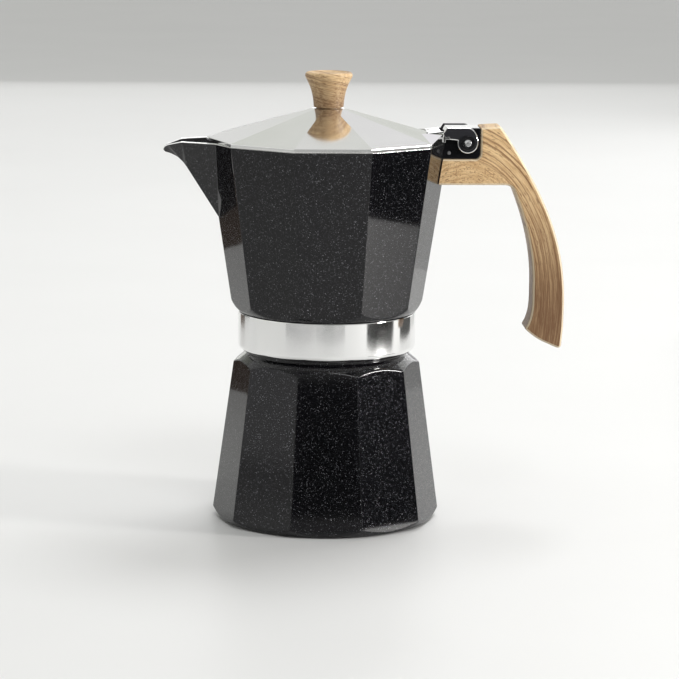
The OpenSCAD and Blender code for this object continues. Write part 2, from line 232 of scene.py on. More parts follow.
def loft(name, rings, loop=False):
    """Skin through rings of the same number of points. Its ends are closed, or joined to each
    other in a loop."""
    count = len(rings[0])
    verts = [v for ring in rings for v in ring]
    faces = []
    for a in range(len(rings) if loop else len(rings) - 1):
        b = (a + 1) % len(rings)
        for i in range(count):
            j = (i + 1) % count
            faces.append((a * count + i, a * count + j, b * count + j, b * count + i))
    if not loop:
        faces.append(tuple(range(count)))
        faces.append(tuple(range((len(rings) - 1) * count, len(rings) * count)))
    return new_object(name, verts, faces)


def turned(name, profile, steps=96, loop=True, wave=None):
    """The profile of (radius, height) turned about Z. wave(angle, height, radius) is added to a
    point's radius."""
    rings = []
    for r, z in profile:
        ring = []
        for i in range(steps):
            angle = 2 * math.pi * i / steps
            reach = r + (wave(angle, z, r) if wave else 0)
            ring.append((reach * math.cos(angle), reach * math.sin(angle), z))
        rings.append(ring)
    return loft(name, rings, loop)


def slab(name, outline, start, end, edge, steps=3):
    """The outline in X and Z made solid across Y, with rounded edges."""
    rings = []
    for a in span(0, math.pi / 2, steps):
        shape = inset(outline, edge * (1 - math.sin(a)))
        rings.append([(p.x, start + edge * (1 - math.cos(a)), p.y) for p in shape])
    for ring in reversed(rings[:]):
        rings.append([(x, start + end - y, z) for x, y, z in ring])
    return loft(name, rings)


def block(name, corner, opposite):
    (x0, y0, z0), (x1, y1, z1) = corner, opposite
    return loft(name, [[(x0, y0, z), (x1, y0, z), (x1, y1, z), (x0, y1, z)] for z in (z0, z1)])


def hull(name, points):
    """The convex solid round some points."""
    obj = new_object(name, points, [])
    work = bmesh.new()
    work.from_mesh(obj.data)
    bmesh.ops.convex_hull(work, input=work.verts)
    bmesh.ops.recalc_face_normals(work, faces=work.faces)
    work.to_mesh(obj.data)
    work.free()
    return obj


def mirrored(points):
    """Each point with its mirror image across the plane of the spout and the handle."""
    return [(x, side * y, z) for x, y, z in points for side in (-1, 1)]


def place(obj, matrix):
    """Moves a mesh. The matrix is in millimetres."""
    scaled = matrix.copy()
    scaled.translation = scaled.translation * MM
    obj.data.transform(scaled)
    return obj


def along_valve():
    """Takes a shape turned about Z to the valve's axis, with its heights measured from the pot's axis."""
    height = (low("valve_seal", "z") + high("valve_seal", "z")) / 2
    return Matrix.Translation((0, 0, height)) @ VALVE_AXIS.to_track_quat("Z", "Y").to_matrix().to_4x4()


def across(x, z):
    """Takes a shape turned about Z to a line along Y."""
    return Matrix.Translation((x, 0, z)) @ Matrix.Rotation(-math.pi / 2, 4, "X")


def apply_modifiers(obj):
    bpy.context.view_layer.update()
    mesh = bpy.data.meshes.new_from_object(obj.evaluated_get(bpy.context.evaluated_depsgraph_get()))
    obj.modifiers.clear()
    obj.data = mesh


def combine(obj, tool, operation="DIFFERENCE", solver="EXACT"):
    """Cuts the tool out of the mesh, or adds it. The tool is used up."""
    modifier = obj.modifiers.new("combine", "BOOLEAN")
    modifier.operation = operation
    modifier.solver = solver
    modifier.object = tool
    apply_modifiers(obj)
    bpy.data.objects.remove(tool)
    return obj


def drill(obj, r, start, end, where=None, steps=24):
    """Cuts a round hole between two places along Z, or along the line that where takes Z to."""
    tool = turned("drill", [(r, start), (r, end)], steps, loop=False)
    return combine(obj, place(tool, where) if where is not None else tool)


def join(name, objects):
    """Several meshes as one object, each with its own materials."""
    work = bmesh.new()
    slots = []
    for o in objects:
        start = len(work.faces)
        work.from_mesh(o.data)
        work.faces.ensure_lookup_table()
        offset = len(slots)
        for face in work.faces[start:]:
            face.material_index += offset
        slots += list(o.data.materials)
        bpy.data.objects.remove(o)
    obj = new_object(name, [], [])
    work.to_mesh(obj.data)
    work.free()
    for m in slots:
        obj.data.materials.append(m)
    return obj


def bevel(obj, width, angle=30, segments=2):
    modifier = obj.modifiers.new("bevel", "BEVEL")
    modifier.width = width * MM
    modifier.segments = segments
    modifier.limit_method = "ANGLE"
    modifier.angle_limit = math.radians(angle)
    apply_modifiers(obj)
    return obj


def finish(obj, body, slot, *nodes, material=None, sharp=32):
    """Shades a piece, gives it its material and hands it to its body."""
    if material:
        obj.data.materials.clear()
        obj.data.materials.append(material)
    obj.data.polygons.foreach_set("use_smooth", [True] * len(obj.data.polygons))
    obj.data.set_sharp_from_angle(angle=math.radians(sharp))
    normals = obj.modifiers.new("normals", "WEIGHTED_NORMAL")
    normals.keep_sharp = True
    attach(obj, body)
    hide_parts(*nodes)
    return obj


# ---------------------------------------------------------------- the ten-sided form


FLAT_STEPS = 16
EDGE_STEPS = 4
HALVINGS = 30
ROUND = SIDES * (FLAT_STEPS + EDGE_STEPS)

# Distances of the rings beside an edge between facets and a turned surface, the farthest first
NEAR = (0.7, 0.45, 0.28, 0.15, 0.05)


class Facets:
    """A ten-sided taper with rounded edges. Radii are over its corners."""

    def __init__(self, low_z, low_r, high_z, high_r, edge, turn=0.0):
        self.low_z, self.low_r, self.edge, self.turn = low_z, low_r, edge, turn
        self.slope = (high_r - low_r) / (high_z - low_z)

    def corner(self, z):
        return self.low_r + self.slope * (z - self.low_z)

    def point(self, i, z, shrink=0.0):
        """Point i round the outline at a height, with the facets moved inwards by shrink."""
        facet, step = divmod(i, FLAT_STEPS + EDGE_STEPS)
        angle = self.turn + HALF_FACET + 2 * HALF_FACET * facet
        normal = Vector((math.cos(angle), math.sin(angle)))
        tangent = Vector((-normal.y, normal.x))
        flat = self.corner(z) * FACET_RATIO - shrink
        half = (flat - self.edge) * math.tan(HALF_FACET)
        if step <= FLAT_STEPS:
            return normal * flat + tangent * half * (2 * step / FLAT_STEPS - 1)
        bend = 2 * HALF_FACET * (step - FLAT_STEPS) / EDGE_STEPS
        out = flat - self.edge + self.edge * math.cos(bend)
        return normal * out + tangent * (half + self.edge * math.sin(bend))

    def ring(self, z, shrink=0.0):
        return [(*self.point(i, z, shrink), z) for i in range(ROUND)]

    def circle(self, r, z, wave=None):
        """A ring with the same number of points as the outline, turned instead of faceted."""
        ring = []
        for i in range(ROUND):
            way = self.point(i, self.low_z).normalized()
            reach = r + (wave(math.atan2(way.y, way.x), z, r) if wave else 0)
            ring.append((way.x * reach, way.y * reach, z))
        return ring

    def meeting(self, i, radius_at, low_z, high_z):
        """Height at which point i's facet meets a turned surface."""
        rising = self.point(i, low_z).length > radius_at(low_z)
        for _ in range(HALVINGS):
            middle = (low_z + high_z) / 2
            if (self.point(i, middle).length > radius_at(middle)) == rising:
                low_z = middle
            else:
                high_z = middle
        return middle

    def edge_ring(self, heights, radius_at, soft=0.5):
        """A ring at its own height for each point, on the facets or the turned surface, whichever is
        inside."""
        ring = []
        for i, z in enumerate(heights):
            p = self.point(i, z)
            reach = soft_min(p.length, radius_at(z), soft)
            ring.append((*(p.normalized() * reach), z))
        return ring

    def edge_rings(self, heights, radius_at):
        """Rings crowded on both sides of the edge between the facets and a turned surface."""
        steps = [-near for near in NEAR] + list(reversed(NEAR))
        return [self.edge_ring([z + step for z in heights], radius_at) for step in steps]


def soft_min(a, b, soft):
    """The smaller value, rounded off where the two are closer than soft."""
    near = max(soft - abs(a - b), 0) / soft
    return min(a, b) - near * near * soft / 4


def thread(start, end, depth, sign=-1):
    """Wave for a right-handed thread of that depth between two heights, fading at its ends."""

    def wave(angle, z, _):
        if not start < z < end:
            return 0
        turn = (z / THREAD_PITCH - angle / (2 * math.pi)) % 1
        fade = min(1, (z - start) / THREAD_PITCH, (end - z) / THREAD_PITCH)
        crest = 1.5 * math.sin(math.pi * turn) ** 2 - 0.25
        return sign * depth * fade * min(1, max(0, crest))

    return wave


# ---------------------------------------------------------------- materials


class Nodes:
    """A node tree, with short calls to add to it."""

    def __init__(self, tree, coordinates):
        self.tree = tree
        self.place = self.add("TexCoord").outputs[coordinates]

    def add(self, kind, inputs=None, **settings):
        node = self.tree.nodes.new("ShaderNode" + kind)
        for key, value in settings.items():
            setattr(node, key, value)
        for key, value in (inputs or {}).items():
            self.feed(node.inputs[key], value)
        return node

    def feed(self, socket, value):
        """Links a socket, or gives it a value."""
        if isinstance(value, bpy.types.NodeSocket):
            self.tree.links.new(value, socket)
        elif hasattr(value, "__len__") and len(value) == 3 and socket.type == "RGBA":
            socket.default_value = (*value, 1)
        else:
            socket.default_value = value

    def math(self, operation, a, b=0.0, c=0.0):
        return self.add("Math", {0: a, 1: b, 2: c}, operation=operation).outputs[0]

    def times(self, a, b):
        return self.math("MULTIPLY", a, b)

    def plus(self, a, b):
        return self.math("ADD", a, b)

    def minus(self, a, b):
        return self.math("SUBTRACT", a, b)

    def noise(self, scale, detail=2.0, roughness=0.5, where=None, distortion=0.0):
        inputs = {"Vector": where or self.place, "Scale": scale, "Detail": detail}
        inputs.update({"Roughness": roughness, "Distortion": distortion})
        return self.add("TexNoise", inputs).outputs["Fac"]

    def ramp(self, value, low_in, high_in, low_out=0.0, high_out=1.0):
        """The value taken smoothly from one range to another."""
        inputs = {"Value": value, "From Min": low_in, "From Max": high_in}
        inputs.update({"To Min": low_out, "To Max": high_out})
        return self.add("MapRange", inputs, interpolation_type="SMOOTHSTEP").outputs["Result"]

    def blend(self, factor, a, b):
        """One colour turning into another."""
        node = self.add("Mix", {"Factor": factor}, data_type="RGBA")
        self.feed(node.inputs[6], a)
        self.feed(node.inputs[7], b)
        return node.outputs[2]


class Shader(Nodes):
    """A material of the object."""

    def __init__(self, name, **settings):
        self.material = bpy.data.materials.new(name)
        self.material.use_nodes = True
        super().__init__(self.material.node_tree, "Object")
        self.surface = self.tree.nodes["Principled BSDF"]
        for key, value in settings.items():
            self.set(key.replace("_", " "), value)

    def set(self, name, value):
        """Sets a socket of the surface, whose name may be given in lower case."""
        key = next(i.name for i in self.surface.inputs if i.name.lower() == name.lower())
        self.feed(self.surface.inputs[key], value)

    def bump(self, height, depth, strength=1.0):
        """Relief of that depth, in millimetres."""
        node = self.add("Bump", {"Height": height, "Strength": strength, "Distance": depth * MM})
        self.set("normal", node.outputs["Normal"])

    def axes(self):
        return self.add("SeparateXYZ", {"Vector": self.place}).outputs

    def around(self):
        """Distance from the pot's axis."""
        x, y, _ = self.axes()
        return self.reach(x, y)

    def reach(self, a, b):
        """Length of the way whose two parts are a and b."""
        return self.math("SQRT", self.plus(self.times(a, a), self.times(b, b)))


FLAKES_PER_M = 4300.0
FLAKE_TILT = 0.2


def paint(name, bare_from=None):
    """Charcoal paint under a smooth clear coat. Its fine metal flakes lie at slightly different
    angles, and it is worn to bare metal above a height."""
    s = Shader(name, coat_weight=1.0, coat_roughness=0.05, coat_ior=1.37, specular_ior_level=0.0)
    cells = s.add("TexVoronoi", {"Vector": s.place, "Scale": FLAKES_PER_M}, feature="F1").outputs["Color"]
    pick = s.add("SeparateColor", {"Color": cells}).outputs
    crowd = s.ramp(s.noise(1400.0, 2.0), 0.34, 0.6, 0.3, 1.0)
    flake = s.times(s.ramp(pick[0], 0.72, 0.99), crowd)
    base = s.blend(s.noise(70.0, 4.0), (0.0018, 0.0017, 0.0024), (0.0038, 0.0036, 0.0046))
    shine = s.blend(s.ramp(pick[1], 0.78, 1.0), (0.036, 0.036, 0.04), (0.4, 0.4, 0.43))
    colour = s.blend(flake, base, shine)
    metal = flake
    rough = s.ramp(s.noise(900.0, 2.0), 0.3, 0.7, 0.1, 0.18)
    tilt = s.add("VectorMath", {0: cells, 1: (0.5, 0.5, 0.5)}, operation="SUBTRACT").outputs[0]
    tilt = s.add("VectorMath", {0: tilt, "Scale": FLAKE_TILT}, operation="SCALE").outputs[0]
    normal = s.add("NewGeometry").outputs["Normal"]
    normal = s.add("VectorMath", {0: normal, 1: tilt}, operation="ADD").outputs[0]
    s.set("normal", s.add("VectorMath", {0: normal}, operation="NORMALIZE").outputs[0])
    if bare_from is not None:
        worn = s.ramp(s.axes()[2], (bare_from - 0.16) * MM, bare_from * MM)
        worn = s.times(worn, s.ramp(s.noise(420.0, 3.0), 0.18, 0.4))
        colour = s.blend(worn, colour, (0.66, 0.66, 0.65))
        metal = s.math("MAXIMUM", metal, worn)
        rough = s.minus(rough, s.times(worn, 0.2))
    s.set("base color", colour)
    s.set("metallic", metal)
    s.set("roughness", rough)
    return s.material


def enamel(name, colour):
    """Gloss enamel with faint orange peel and dust scuffs."""
    s = Shader(name, coat_weight=1.0, coat_roughness=0.03, coat_ior=1.36, specular_ior_level=0.0)
    s.set("base color", s.blend(s.noise(160.0, 3.0), tuple(c * 0.5 for c in colour), colour))
    s.set("roughness", s.ramp(s.noise(300.0, 4.0), 0.35, 0.75, 0.12, 0.26))
    s.bump(s.noise(800.0, 2.0), 0.02, 0.25)
    return s.material


def polished():
    """Polished aluminium, with a faint haze and hairlines left by the mop."""
    s = Shader("polished_aluminium", metallic=1.0)
    x, y, z = s.axes()
    long_way = {"X": s.times(x, 0.12), "Y": s.times(y, 0.12), "Z": z}
    hair = s.noise(5200.0, 3.0, 0.6, s.add("CombineXYZ", long_way).outputs[0])
    haze = s.noise(45.0, 4.0, 0.6)
    s.set("base color", s.blend(haze, (0.83, 0.83, 0.825), (0.9, 0.9, 0.895)))
    rough = s.plus(s.ramp(haze, 0.3, 0.7, 0.055, 0.11), s.times(hair, 0.035))
    s.set("roughness", rough)
    s.bump(hair, 0.004, 0.35)
    return s.material


def spun(name, colour, rough, scale, darker=0.82):
    """Metal turned in a lathe: fine rings about the pot's axis over a soft mottle."""
    s = Shader(name, metallic=1.0)
    rings = s.noise(scale, 3.0, 0.65, s.add("CombineXYZ", {"X": s.around()}).outputs[0])
    mottle = s.noise(240.0, 5.0, 0.65)
    dark = tuple(c * darker for c in colour)
    s.set("base color", s.blend(s.times(s.plus(rings, mottle), 0.5), dark, colour))
    s.set("roughness", s.plus(s.times(mottle, 0.12), rough))
    s.bump(s.plus(rings, s.times(mottle, 0.4)), 0.02, 0.4)
    return s.material


def drawn(name, colour, rough):
    """Small turned or drawn hardware: fine scratches and a little tarnish."""
    s = Shader(name, metallic=1.0)
    tarnish = s.noise(520.0, 5.0, 0.6)
    scratch = s.noise(3400.0, 2.0, 0.5, distortion=0.6)
    dark = tuple(c * 0.72 for c in colour)
    s.set("base color", s.blend(s.ramp(tarnish, 0.3, 0.65), dark, colour))
    dull = s.ramp(tarnish, 0.3, 0.7, rough + 0.1, rough)
    s.set("roughness", s.plus(dull, s.times(scratch, 0.06)))
    s.bump(scratch, 0.008, 0.3)
    return s.material


def rubber(name, colour, speck, grain):
    """Moulded seal: a matt skin with a fine grain and specks."""
    s = Shader(name, subsurface_weight=0.12, subsurface_scale=1.5 * MM)
    s.set("base color", s.blend(s.ramp(s.noise(grain, 5.0, 0.7), 0.4, 0.62), colour, speck))
    s.set("roughness", s.ramp(s.noise(grain * 2, 3.0), 0.3, 0.7, 0.5, 0.68))
    s.bump(s.noise(grain * 3, 3.0), 0.03, 0.4)
    return s.material


def wood(name, ring_place, fibre_place, ring_gap, shade, shade_and_tone=None, edge=None, speckled=None):
    """Golden wood with darker growth lines and short pores. The two functions turn a place into the
    coordinates across the growth rings and along the fibres. Of the three optional functions, the first gives
    how much darker a place is as painted shade (on the handle also a darker wood), the second how strong a
    painted highlight along the rounded edges is, and the third how far its growth lines give way to specks."""
    s = Shader(name, coat_weight=0.1, coat_roughness=0.4, specular_ior_level=0.35)
    across_rings, along = ring_place(s), fibre_place(s)
    depth = s.axes()[1]
    slow = {"X": s.times(across_rings, 0.45), "Y": s.times(along, 0.35)}
    slow["Z"] = s.times(depth, 0.6)
    field = s.add("CombineXYZ", slow).outputs[0]
    sway = s.times(s.minus(s.noise(55.0, 3.0, 0.5, field), 0.5), 6.0 * MM)
    rings = s.plus(across_rings, sway)
    lines = s.noise(1 / (ring_gap * MM), 3.0, 0.72, s.add("CombineXYZ", {"X": rings}).outputs[0])
    patchy = s.ramp(s.noise(90.0, 2.0, 0.5, field), 0.3, 0.6, 0.45, 1.0)
    late = s.times(s.ramp(lines, 0.49, 0.57), patchy)
    if speckled:
        late = s.times(late, s.minus(1.0, speckled(s)))
    fibres = s.add("CombineXYZ", {"X": rings, "Y": s.times(along, 0.05), "Z": depth}).outputs[0]
    strand = s.noise(1500.0, 4.0, 0.7, fibres)
    dashes = s.add("CombineXYZ", {"X": rings, "Y": s.times(along, 0.16), "Z": depth}).outputs[0]
    pore = s.ramp(s.noise(1500.0, 2.0, 0.6, dashes), 0.56, 0.68)
    tone = s.blend(s.noise(38.0, 3.0, 0.5, field), (0.74, 0.50, 0.25), (0.9, 0.68, 0.40))
    tone = s.blend(s.ramp(strand, 0.4, 0.66, 0.0, 0.8), tone, (0.5, 0.29, 0.125))
    tone = s.blend(s.times(late, 0.82), tone, (0.21, 0.095, 0.035))
    tone = s.blend(s.times(pore, 0.62), tone, (0.17, 0.075, 0.03))
    if speckled:
        speck = s.ramp(s.noise(1050.0, 2.0, 0.6), 0.53, 0.66, 0.0, 0.7)
        tone = s.blend(s.times(speck, speckled(s)), tone, (0.3, 0.15, 0.06))
    # Painted shade, made stronger or weaker by the strands; on the handle it is partly a darker wood.
    if shade_and_tone:
        shade_and_tone_mix = s.times(shade_and_tone(s), s.ramp(strand, 0.3, 0.7, 0.75, 1.15))
        tone = s.blend(shade_and_tone_mix, tone, (0.15, 0.073, 0.031))
    # Painted highlight: a pale band along the rounded edges.
    if edge:
        tone = s.blend(edge(s), tone, (0.98, 0.85, 0.62))
    tone = s.blend(1 - shade, tone, (0.1, 0.05, 0.02))
    s.set("base color", tone)
    s.set("roughness", s.ramp(strand, 0.2, 0.8, 0.38, 0.55))
    s.bump(s.minus(strand, s.plus(pore, late)), 0.05, 0.3)
    return s.material


# The handle's growth rings are ellipses about a place below the arm, so they bend with the handle
RINGS_CENTRE = Vector((60.0, 0.0, 100.0))
RINGS_SQUEEZE = 1.67
RINGS_REACH = 70


def ring_way(s):
    """The way from the centre of the handle's rings, with the ellipse made round."""
    x, _, z = s.axes()
    wide = s.times(s.minus(x, RINGS_CENTRE.x * MM), RINGS_SQUEEZE)
    return wide, s.minus(z, RINGS_CENTRE.z * MM)


def handle_rings(s):
    """Distance from the centre of the handle's rings."""
    return s.reach(*ring_way(s))


def handle_fibres(s):
    """Distance round the handle's rings."""
    wide, tall = ring_way(s)
    return s.times(s.math("ARCTAN2", tall, wide), RINGS_REACH * MM)


def handle_speckled(s):
    """The arm's lower end shows no growth lines, only specks."""
    near = s.ramp(handle_rings(s), 69 * MM, 64 * MM)
    return s.times(near, s.ramp(s.axes()[2], 148 * MM, 155 * MM))


def handle_shade_and_tone(s):
    """The grip is darker towards its lower end: partly painted shade, where less light reaches it, and partly
    a darker wood.
    """
    return s.ramp(s.axes()[2], 176 * MM, 90 * MM, 0.0, 0.98)


def handle_painted_highlight(s):
    """Painted highlight: the rounded edges are painted pale, as where they catch the light, in the last
    stretch before the flat sides.
    """
    reach = s.math("ABSOLUTE", s.axes()[1])
    start = GRIP_HALF * MM
    rising = s.ramp(reach, start - 1.1 * MM, start - 0.6 * MM)
    return s.times(rising, s.ramp(reach, start - 0.03 * MM, start - 0.14 * MM, 0.0, 0.55))


def knob_rings(s):
    """Height in the knob, with a slow tilt so that its bands run a little askew."""
    x, y, z = s.axes()
    tilt = s.plus(s.times(x, 0.18), s.times(y, 0.1))
    return s.plus(z, tilt)


def knob_fibres(s):
    """Distance round the knob."""
    x, y, _ = s.axes()
    return s.times(s.math("ARCTAN2", y, x), 9 * MM)


def knob_painted_shade(s):
    """Painted shade: the knob is darker towards its neck, under its flare."""
    return s.ramp(s.axes()[2], KNOB_TOP * MM, LID_TOP * MM, 0.05, 0.75)


chamber_paint = paint("chamber_paint", bare_from=RIM_Z - 0.1)
boiler_paint = paint("boiler_paint")
black = enamel("gloss_black_enamel", (0.009, 0.009, 0.0105))
charcoal = enamel("charcoal_enamel", (0.035, 0.035, 0.04))
bright = polished()
cast = spun("spun_aluminium", (0.78, 0.78, 0.77), 0.24, 5200.0)
steel_disc = spun("turned_steel", (0.62, 0.62, 0.63), 0.22, 3800.0, 0.7)
steel = drawn("drawn_steel", (0.68, 0.68, 0.69), 0.16)
# A steel darker than the other hardware, used for the handle pins.
dark_steel = drawn("dark_grey_steel", (0.3, 0.3, 0.31), 0.3)
brass = drawn("turned_brass", (0.80, 0.57, 0.24), 0.2)
silicone = rubber("silicone", (0.86, 0.85, 0.8), (0.78, 0.76, 0.7), 420.0)
fibre = rubber("fibre_seal", (0.42, 0.075, 0.04), (0.2, 0.035, 0.02), 700.0)
handle_looks = {"shade_and_tone": handle_shade_and_tone, "edge": handle_painted_highlight, "speckled": handle_speckled}
handle_wood = wood("handle_wood", handle_rings, handle_fibres, 2.2, 0.94, **handle_looks)
knob_wood = wood("knob_wood", knob_rings, knob_fibres, 2.3, 0.85, knob_painted_shade)


# ---------------------------------------------------------------- boiler


FOOT_R, FOOT_Z = 52.0, 3.7
FOOT_LOW_R, FOOT_SLOPE = 48.9, 0.939
SHOULDER_R, SHOULDER_Z = 42.66, 72.1
SHOULDER_TOP, SHOULDER_SLOPE = 76.9, 1.2205
CAVITY_LOW = 5.2
VALVE_IN, BOSS_FACE = 39.5, 46.2
SHANK_R = 4.0
BOILER_WALL = 3


def foot_radius(z):
    """The turned chamfer under the foot."""
    return FOOT_LOW_R + (z - BOILER_LOW) * FOOT_SLOPE


def shoulder_radius(z):
    """The turned cone over the facets."""
    return NECK_R + (SHOULDER_TOP - z) * SHOULDER_SLOPE


def boiler():
    body = Facets(FOOT_Z, FOOT_R, SHOULDER_Z, SHOULDER_R, 0.9, BOILER_TURN)
    foot = [body.meeting(i, foot_radius, BOILER_LOW, 12) for i in range(ROUND)]
    arch = [body.meeting(i, shoulder_radius, 60, SHOULDER_TOP) for i in range(ROUND)]
    rings = [body.circle(0.5, DISC_TOP), body.circle(DISC_R + SLIP, DISC_TOP)]
    rings += [body.circle(DISC_R + SLIP, BOILER_LOW + 0.3), body.circle(DISC_R + 0.35, BOILER_LOW)]
    rings += [body.circle(48.5, BOILER_LOW)]
    rings += [body.circle(foot_radius(BOILER_LOW + 0.2), BOILER_LOW + 0.2)]
    for near in NEAR:
        rings.append(body.edge_ring([max(z - near, BOILER_LOW + 0.25) for z in foot], foot_radius))
    for near in reversed(NEAR):
        rings.append(body.edge_ring([z + near for z in foot], foot_radius))
    for t in (0.02, 0.5, 0.98):
        heights = [mix(a + NEAR[0], b - NEAR[0], t) for a, b in zip(foot, arch)]
        rings.append([(*body.point(i, z), z) for i, z in enumerate(heights)])
    rings += body.edge_rings(arch, shoulder_radius)
    for t in (0.4, 0.8, 0.95):
        heights = [mix(z + NEAR[0], SHOULDER_TOP, t) for z in arch]
        rings.append(body.edge_ring(heights, shoulder_radius))
    wave = thread(SHOULDER_TOP + 1, NECK_TOP - 0.4, 0.75)
    for z in span(SHOULDER_TOP + 0.2, NECK_TOP - 0.5, 76):
        rings.append(body.circle(NECK_R, z, wave))
    inside = [(NECK_R - 0.5, NECK_TOP), (NECK_BORE + 0.5, NECK_TOP)]
    inside += [(NECK_BORE, NECK_TOP - 0.5), (NECK_BORE, 75.5)]
    flat = body.corner(9) * FACET_RATIO
    inside += [(body.corner(70) * FACET_RATIO - BOILER_WALL, 70), (flat - BOILER_WALL, 9)]
    inside += [(flat - 3.7, 6.6), (flat - 6, CAVITY_LOW)]
    inside += [(20, CAVITY_LOW), (0.5, CAVITY_LOW)]
    rings += [body.circle(r, z) for r, z in inside]
    obj = loft("boiler_shell", rings)
    boss = [(0.01, VALVE_IN), (8.2, VALVE_IN), (8.2, BOSS_FACE, 0.6), (0.01, BOSS_FACE)]
    boss = turned("boss", rounded(boss, 0.01, 3, closed=False), 64, loop=False)
    combine(obj, place(boss, along_valve()), "UNION")
    drill(obj, SHANK_R + SLIP, 36, 47, along_valve(), 48)
    clean(obj)
    return finish(obj, "base", "black_paint", "boiler", material=boiler_paint)


def induction_disc():
    """Steel plate with a turned face and two shallow grooves."""
    bottom = [(0.5, 0.0)]
    for r in (14.5, 29.5):
        bottom += [(r, 0.0), (r + 0.3, 0.25), (r + 0.9, 0.25), (r + 1.2, 0.0)]
    bottom += [(DISC_R - 0.4, 0.0), (DISC_R - 0.12, 0.12), (DISC_R, 0.4), (DISC_R, DISC_TOP - SLIP)]
    obj = turned("induction_plate", bottom + [(0.5, DISC_TOP - SLIP)], 128, loop=False)
    return finish(obj, "base", "steel", "induction_disc", material=steel_disc)


# ---------------------------------------------------------------- safety valve


HEX_IN = 47.2
HEX_OUT = 53.2
SPRING_IN = 42.55
SPRING_OUT = HEX_OUT - 2
PISTON_R = 2.6


def hexagon(name, r, start, end, chamfer):
    """A nut's body: six sides, with both ends turned to a chamfer."""
    steps = 96
    rings = []
    rise = chamfer * 0.6
    for z, cap in ((start, r - chamfer), (start + rise, r), (end - rise, r), (end, r - chamfer)):
        ring = []
        for i in range(steps):
            angle = 2 * math.pi * i / steps
            side = (angle % (math.pi / 3)) - math.pi / 6
            flat = r * math.cos(math.pi / 6) / math.cos(side)
            reach = soft_min(flat, cap, 0.3)
            ring.append((reach * math.cos(angle), reach * math.sin(angle), z))
        rings.append(ring)
    return loft(name, rings)


def valve():
    nut = hexagon("nut", 7.0, HEX_IN, HEX_OUT, 0.8)
    wave = thread(VALVE_IN + 0.6, BOSS_FACE, 0.22)
    heights = span(VALVE_IN, HEX_IN + 0.5, 60)
    shank = turned("shank", [(SHANK_R, z) for z in heights], 64, loop=False, wave=wave)
    combine(nut, shank, "UNION")
    bore = [(0.01, VALVE_IN - 1), (1.7, VALVE_IN - 1), (1.7, VALVE_IN + 1.2), (2.9, VALVE_IN + 1.2)]
    bore += [(2.9, SPRING_OUT), (1.25, SPRING_OUT), (1.25, HEX_OUT - 0.3)]
    bore += [(1.8, HEX_OUT + 0.5), (0.01, HEX_OUT + 0.5)]
    combine(nut, turned("bore", bore, 48, loop=False))
    nut.name = nut.data.name = "valve_nut"
    clean(nut)
    finish(place(nut, along_valve()), "base", "brass", "valve_body", material=brass)

    ring = rounded([(4.05, BOSS_FACE), (7.2, BOSS_FACE), (7.2, HEX_IN), (4.05, HEX_IN)], 0.25, 3)
    seal = place(turned("valve_washer", ring, 64), along_valve())
    finish(seal, "base", "fibre_seal", "valve_seal", material=fibre)

    tip = high("valve_pin", "y")
    pin = [(0.01, 40.75), (PISTON_R - 0.3, 40.75), (PISTON_R, 41.1), (PISTON_R, 42.2)]
    pin.append((PISTON_R - 0.2, SPRING_IN))
    pin += [(1.2, SPRING_IN), (1.2, tip - 1.1), (1.0, tip - 1.0), (1.0, tip - 0.75), (1.2, tip - 0.65)]
    pin += [(1.2, tip - 0.35), (0.95, tip - 0.08), (0.5, tip), (0.01, tip)]
    stem = place(turned("valve_stem", pin, 40, loop=False), along_valve())
    finish(stem, "valve", "steel", "valve_pin", material=steel)

    coils, wire, steps, sides, coil_r = 6, 0.38, 26, 10, 2.05
    rings = []
    for i in range(coils * steps + 1):
        angle = 2 * math.pi * i / steps
        z = mix(SPRING_IN + wire + 0.02, SPRING_OUT - wire - 0.02, i / (coils * steps))
        way = Vector((math.cos(angle), math.sin(angle), 0))
        ring = []
        for k in range(sides):
            turn = 2 * math.pi * k / sides
            out, up = coil_r + wire * math.cos(turn), z + wire * math.sin(turn)
            ring.append(way * out + Vector((0, 0, up)))
        rings.append(ring)
    spring = place(loft("valve_coil", rings), along_valve())
    finish(spring, "base", "steel", "valve_spring", material=steel)
    anchor = along_valve() @ Vector((0, 0, SPRING_OUT)) * MM
    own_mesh(spring)


# ---------------------------------------------------------------- funnel, filter and seal


def holes(name, reach, pitch, r, low_z, high_z):
    """A field of small drills in a triangular pattern, within a circle."""
    verts, faces = [], []
    steps = 10
    angles = [k * 2 * math.pi / steps for k in range(steps)]
    row_gap = pitch * 0.866
    rows = int(reach / row_gap) + 1
    for row in range(-rows, rows + 1):
        for column in range(-rows - 2, rows + 3):
            x, y = (column + (row % 2) / 2) * pitch, row * row_gap
            if math.hypot(x, y) > reach:
                continue
            a, b = len(verts), len(verts) + steps
            for z in (low_z, high_z):
                for angle in angles:
                    verts.append((x + r * math.cos(angle), y + r * math.sin(angle), z))
            faces += [(a + k, a + (k + 1) % steps, b + (k + 1) % steps, b + k) for k in range(steps)]
            faces += [tuple(range(a, b)), tuple(range(b, b + steps))]
    return new_object(name, verts, faces)


def funnel():
    rim = high("funnel", "z")
    stem_low = low("funnel", "z")
    floor = low("funnel_screen", "z")
    points = [(35.8, NECK_TOP, 0.2), (35.8, rim, 0.35), (31.8, rim, 0.4)]
    points += [(31.8, floor, 0.1), (30.4, floor, 0.1), (3.6, floor - 12, 5)]
    points += [(3.6, stem_low, 0.2), (4.6, stem_low, 0.2), (4.6, floor - 13, 5)]
    points += [(32.6, floor - 1, 3), (32.6, NECK_TOP, 0.15)]
    obj = turned("coffee_funnel", rounded(points, 0.2, 5), 128)
    finish(obj, "basket", "spun_aluminium", "funnel", material=cast, sharp=40)

    top = high("funnel_screen", "z")
    plate = [(0.5, floor), (31.6, floor, 0.2), (31.6, top, 0.2), (0.5, top)]
    screen = turned("coffee_screen", rounded(plate, 0.01, 3, closed=False), 96, loop=False)
    combine(screen, holes("drill", 29.5, 3.0, 0.6, floor - 1, top + 1), solver="MANIFOLD")
    finish(screen, "basket", "spun_aluminium", "funnel_screen", material=cast)


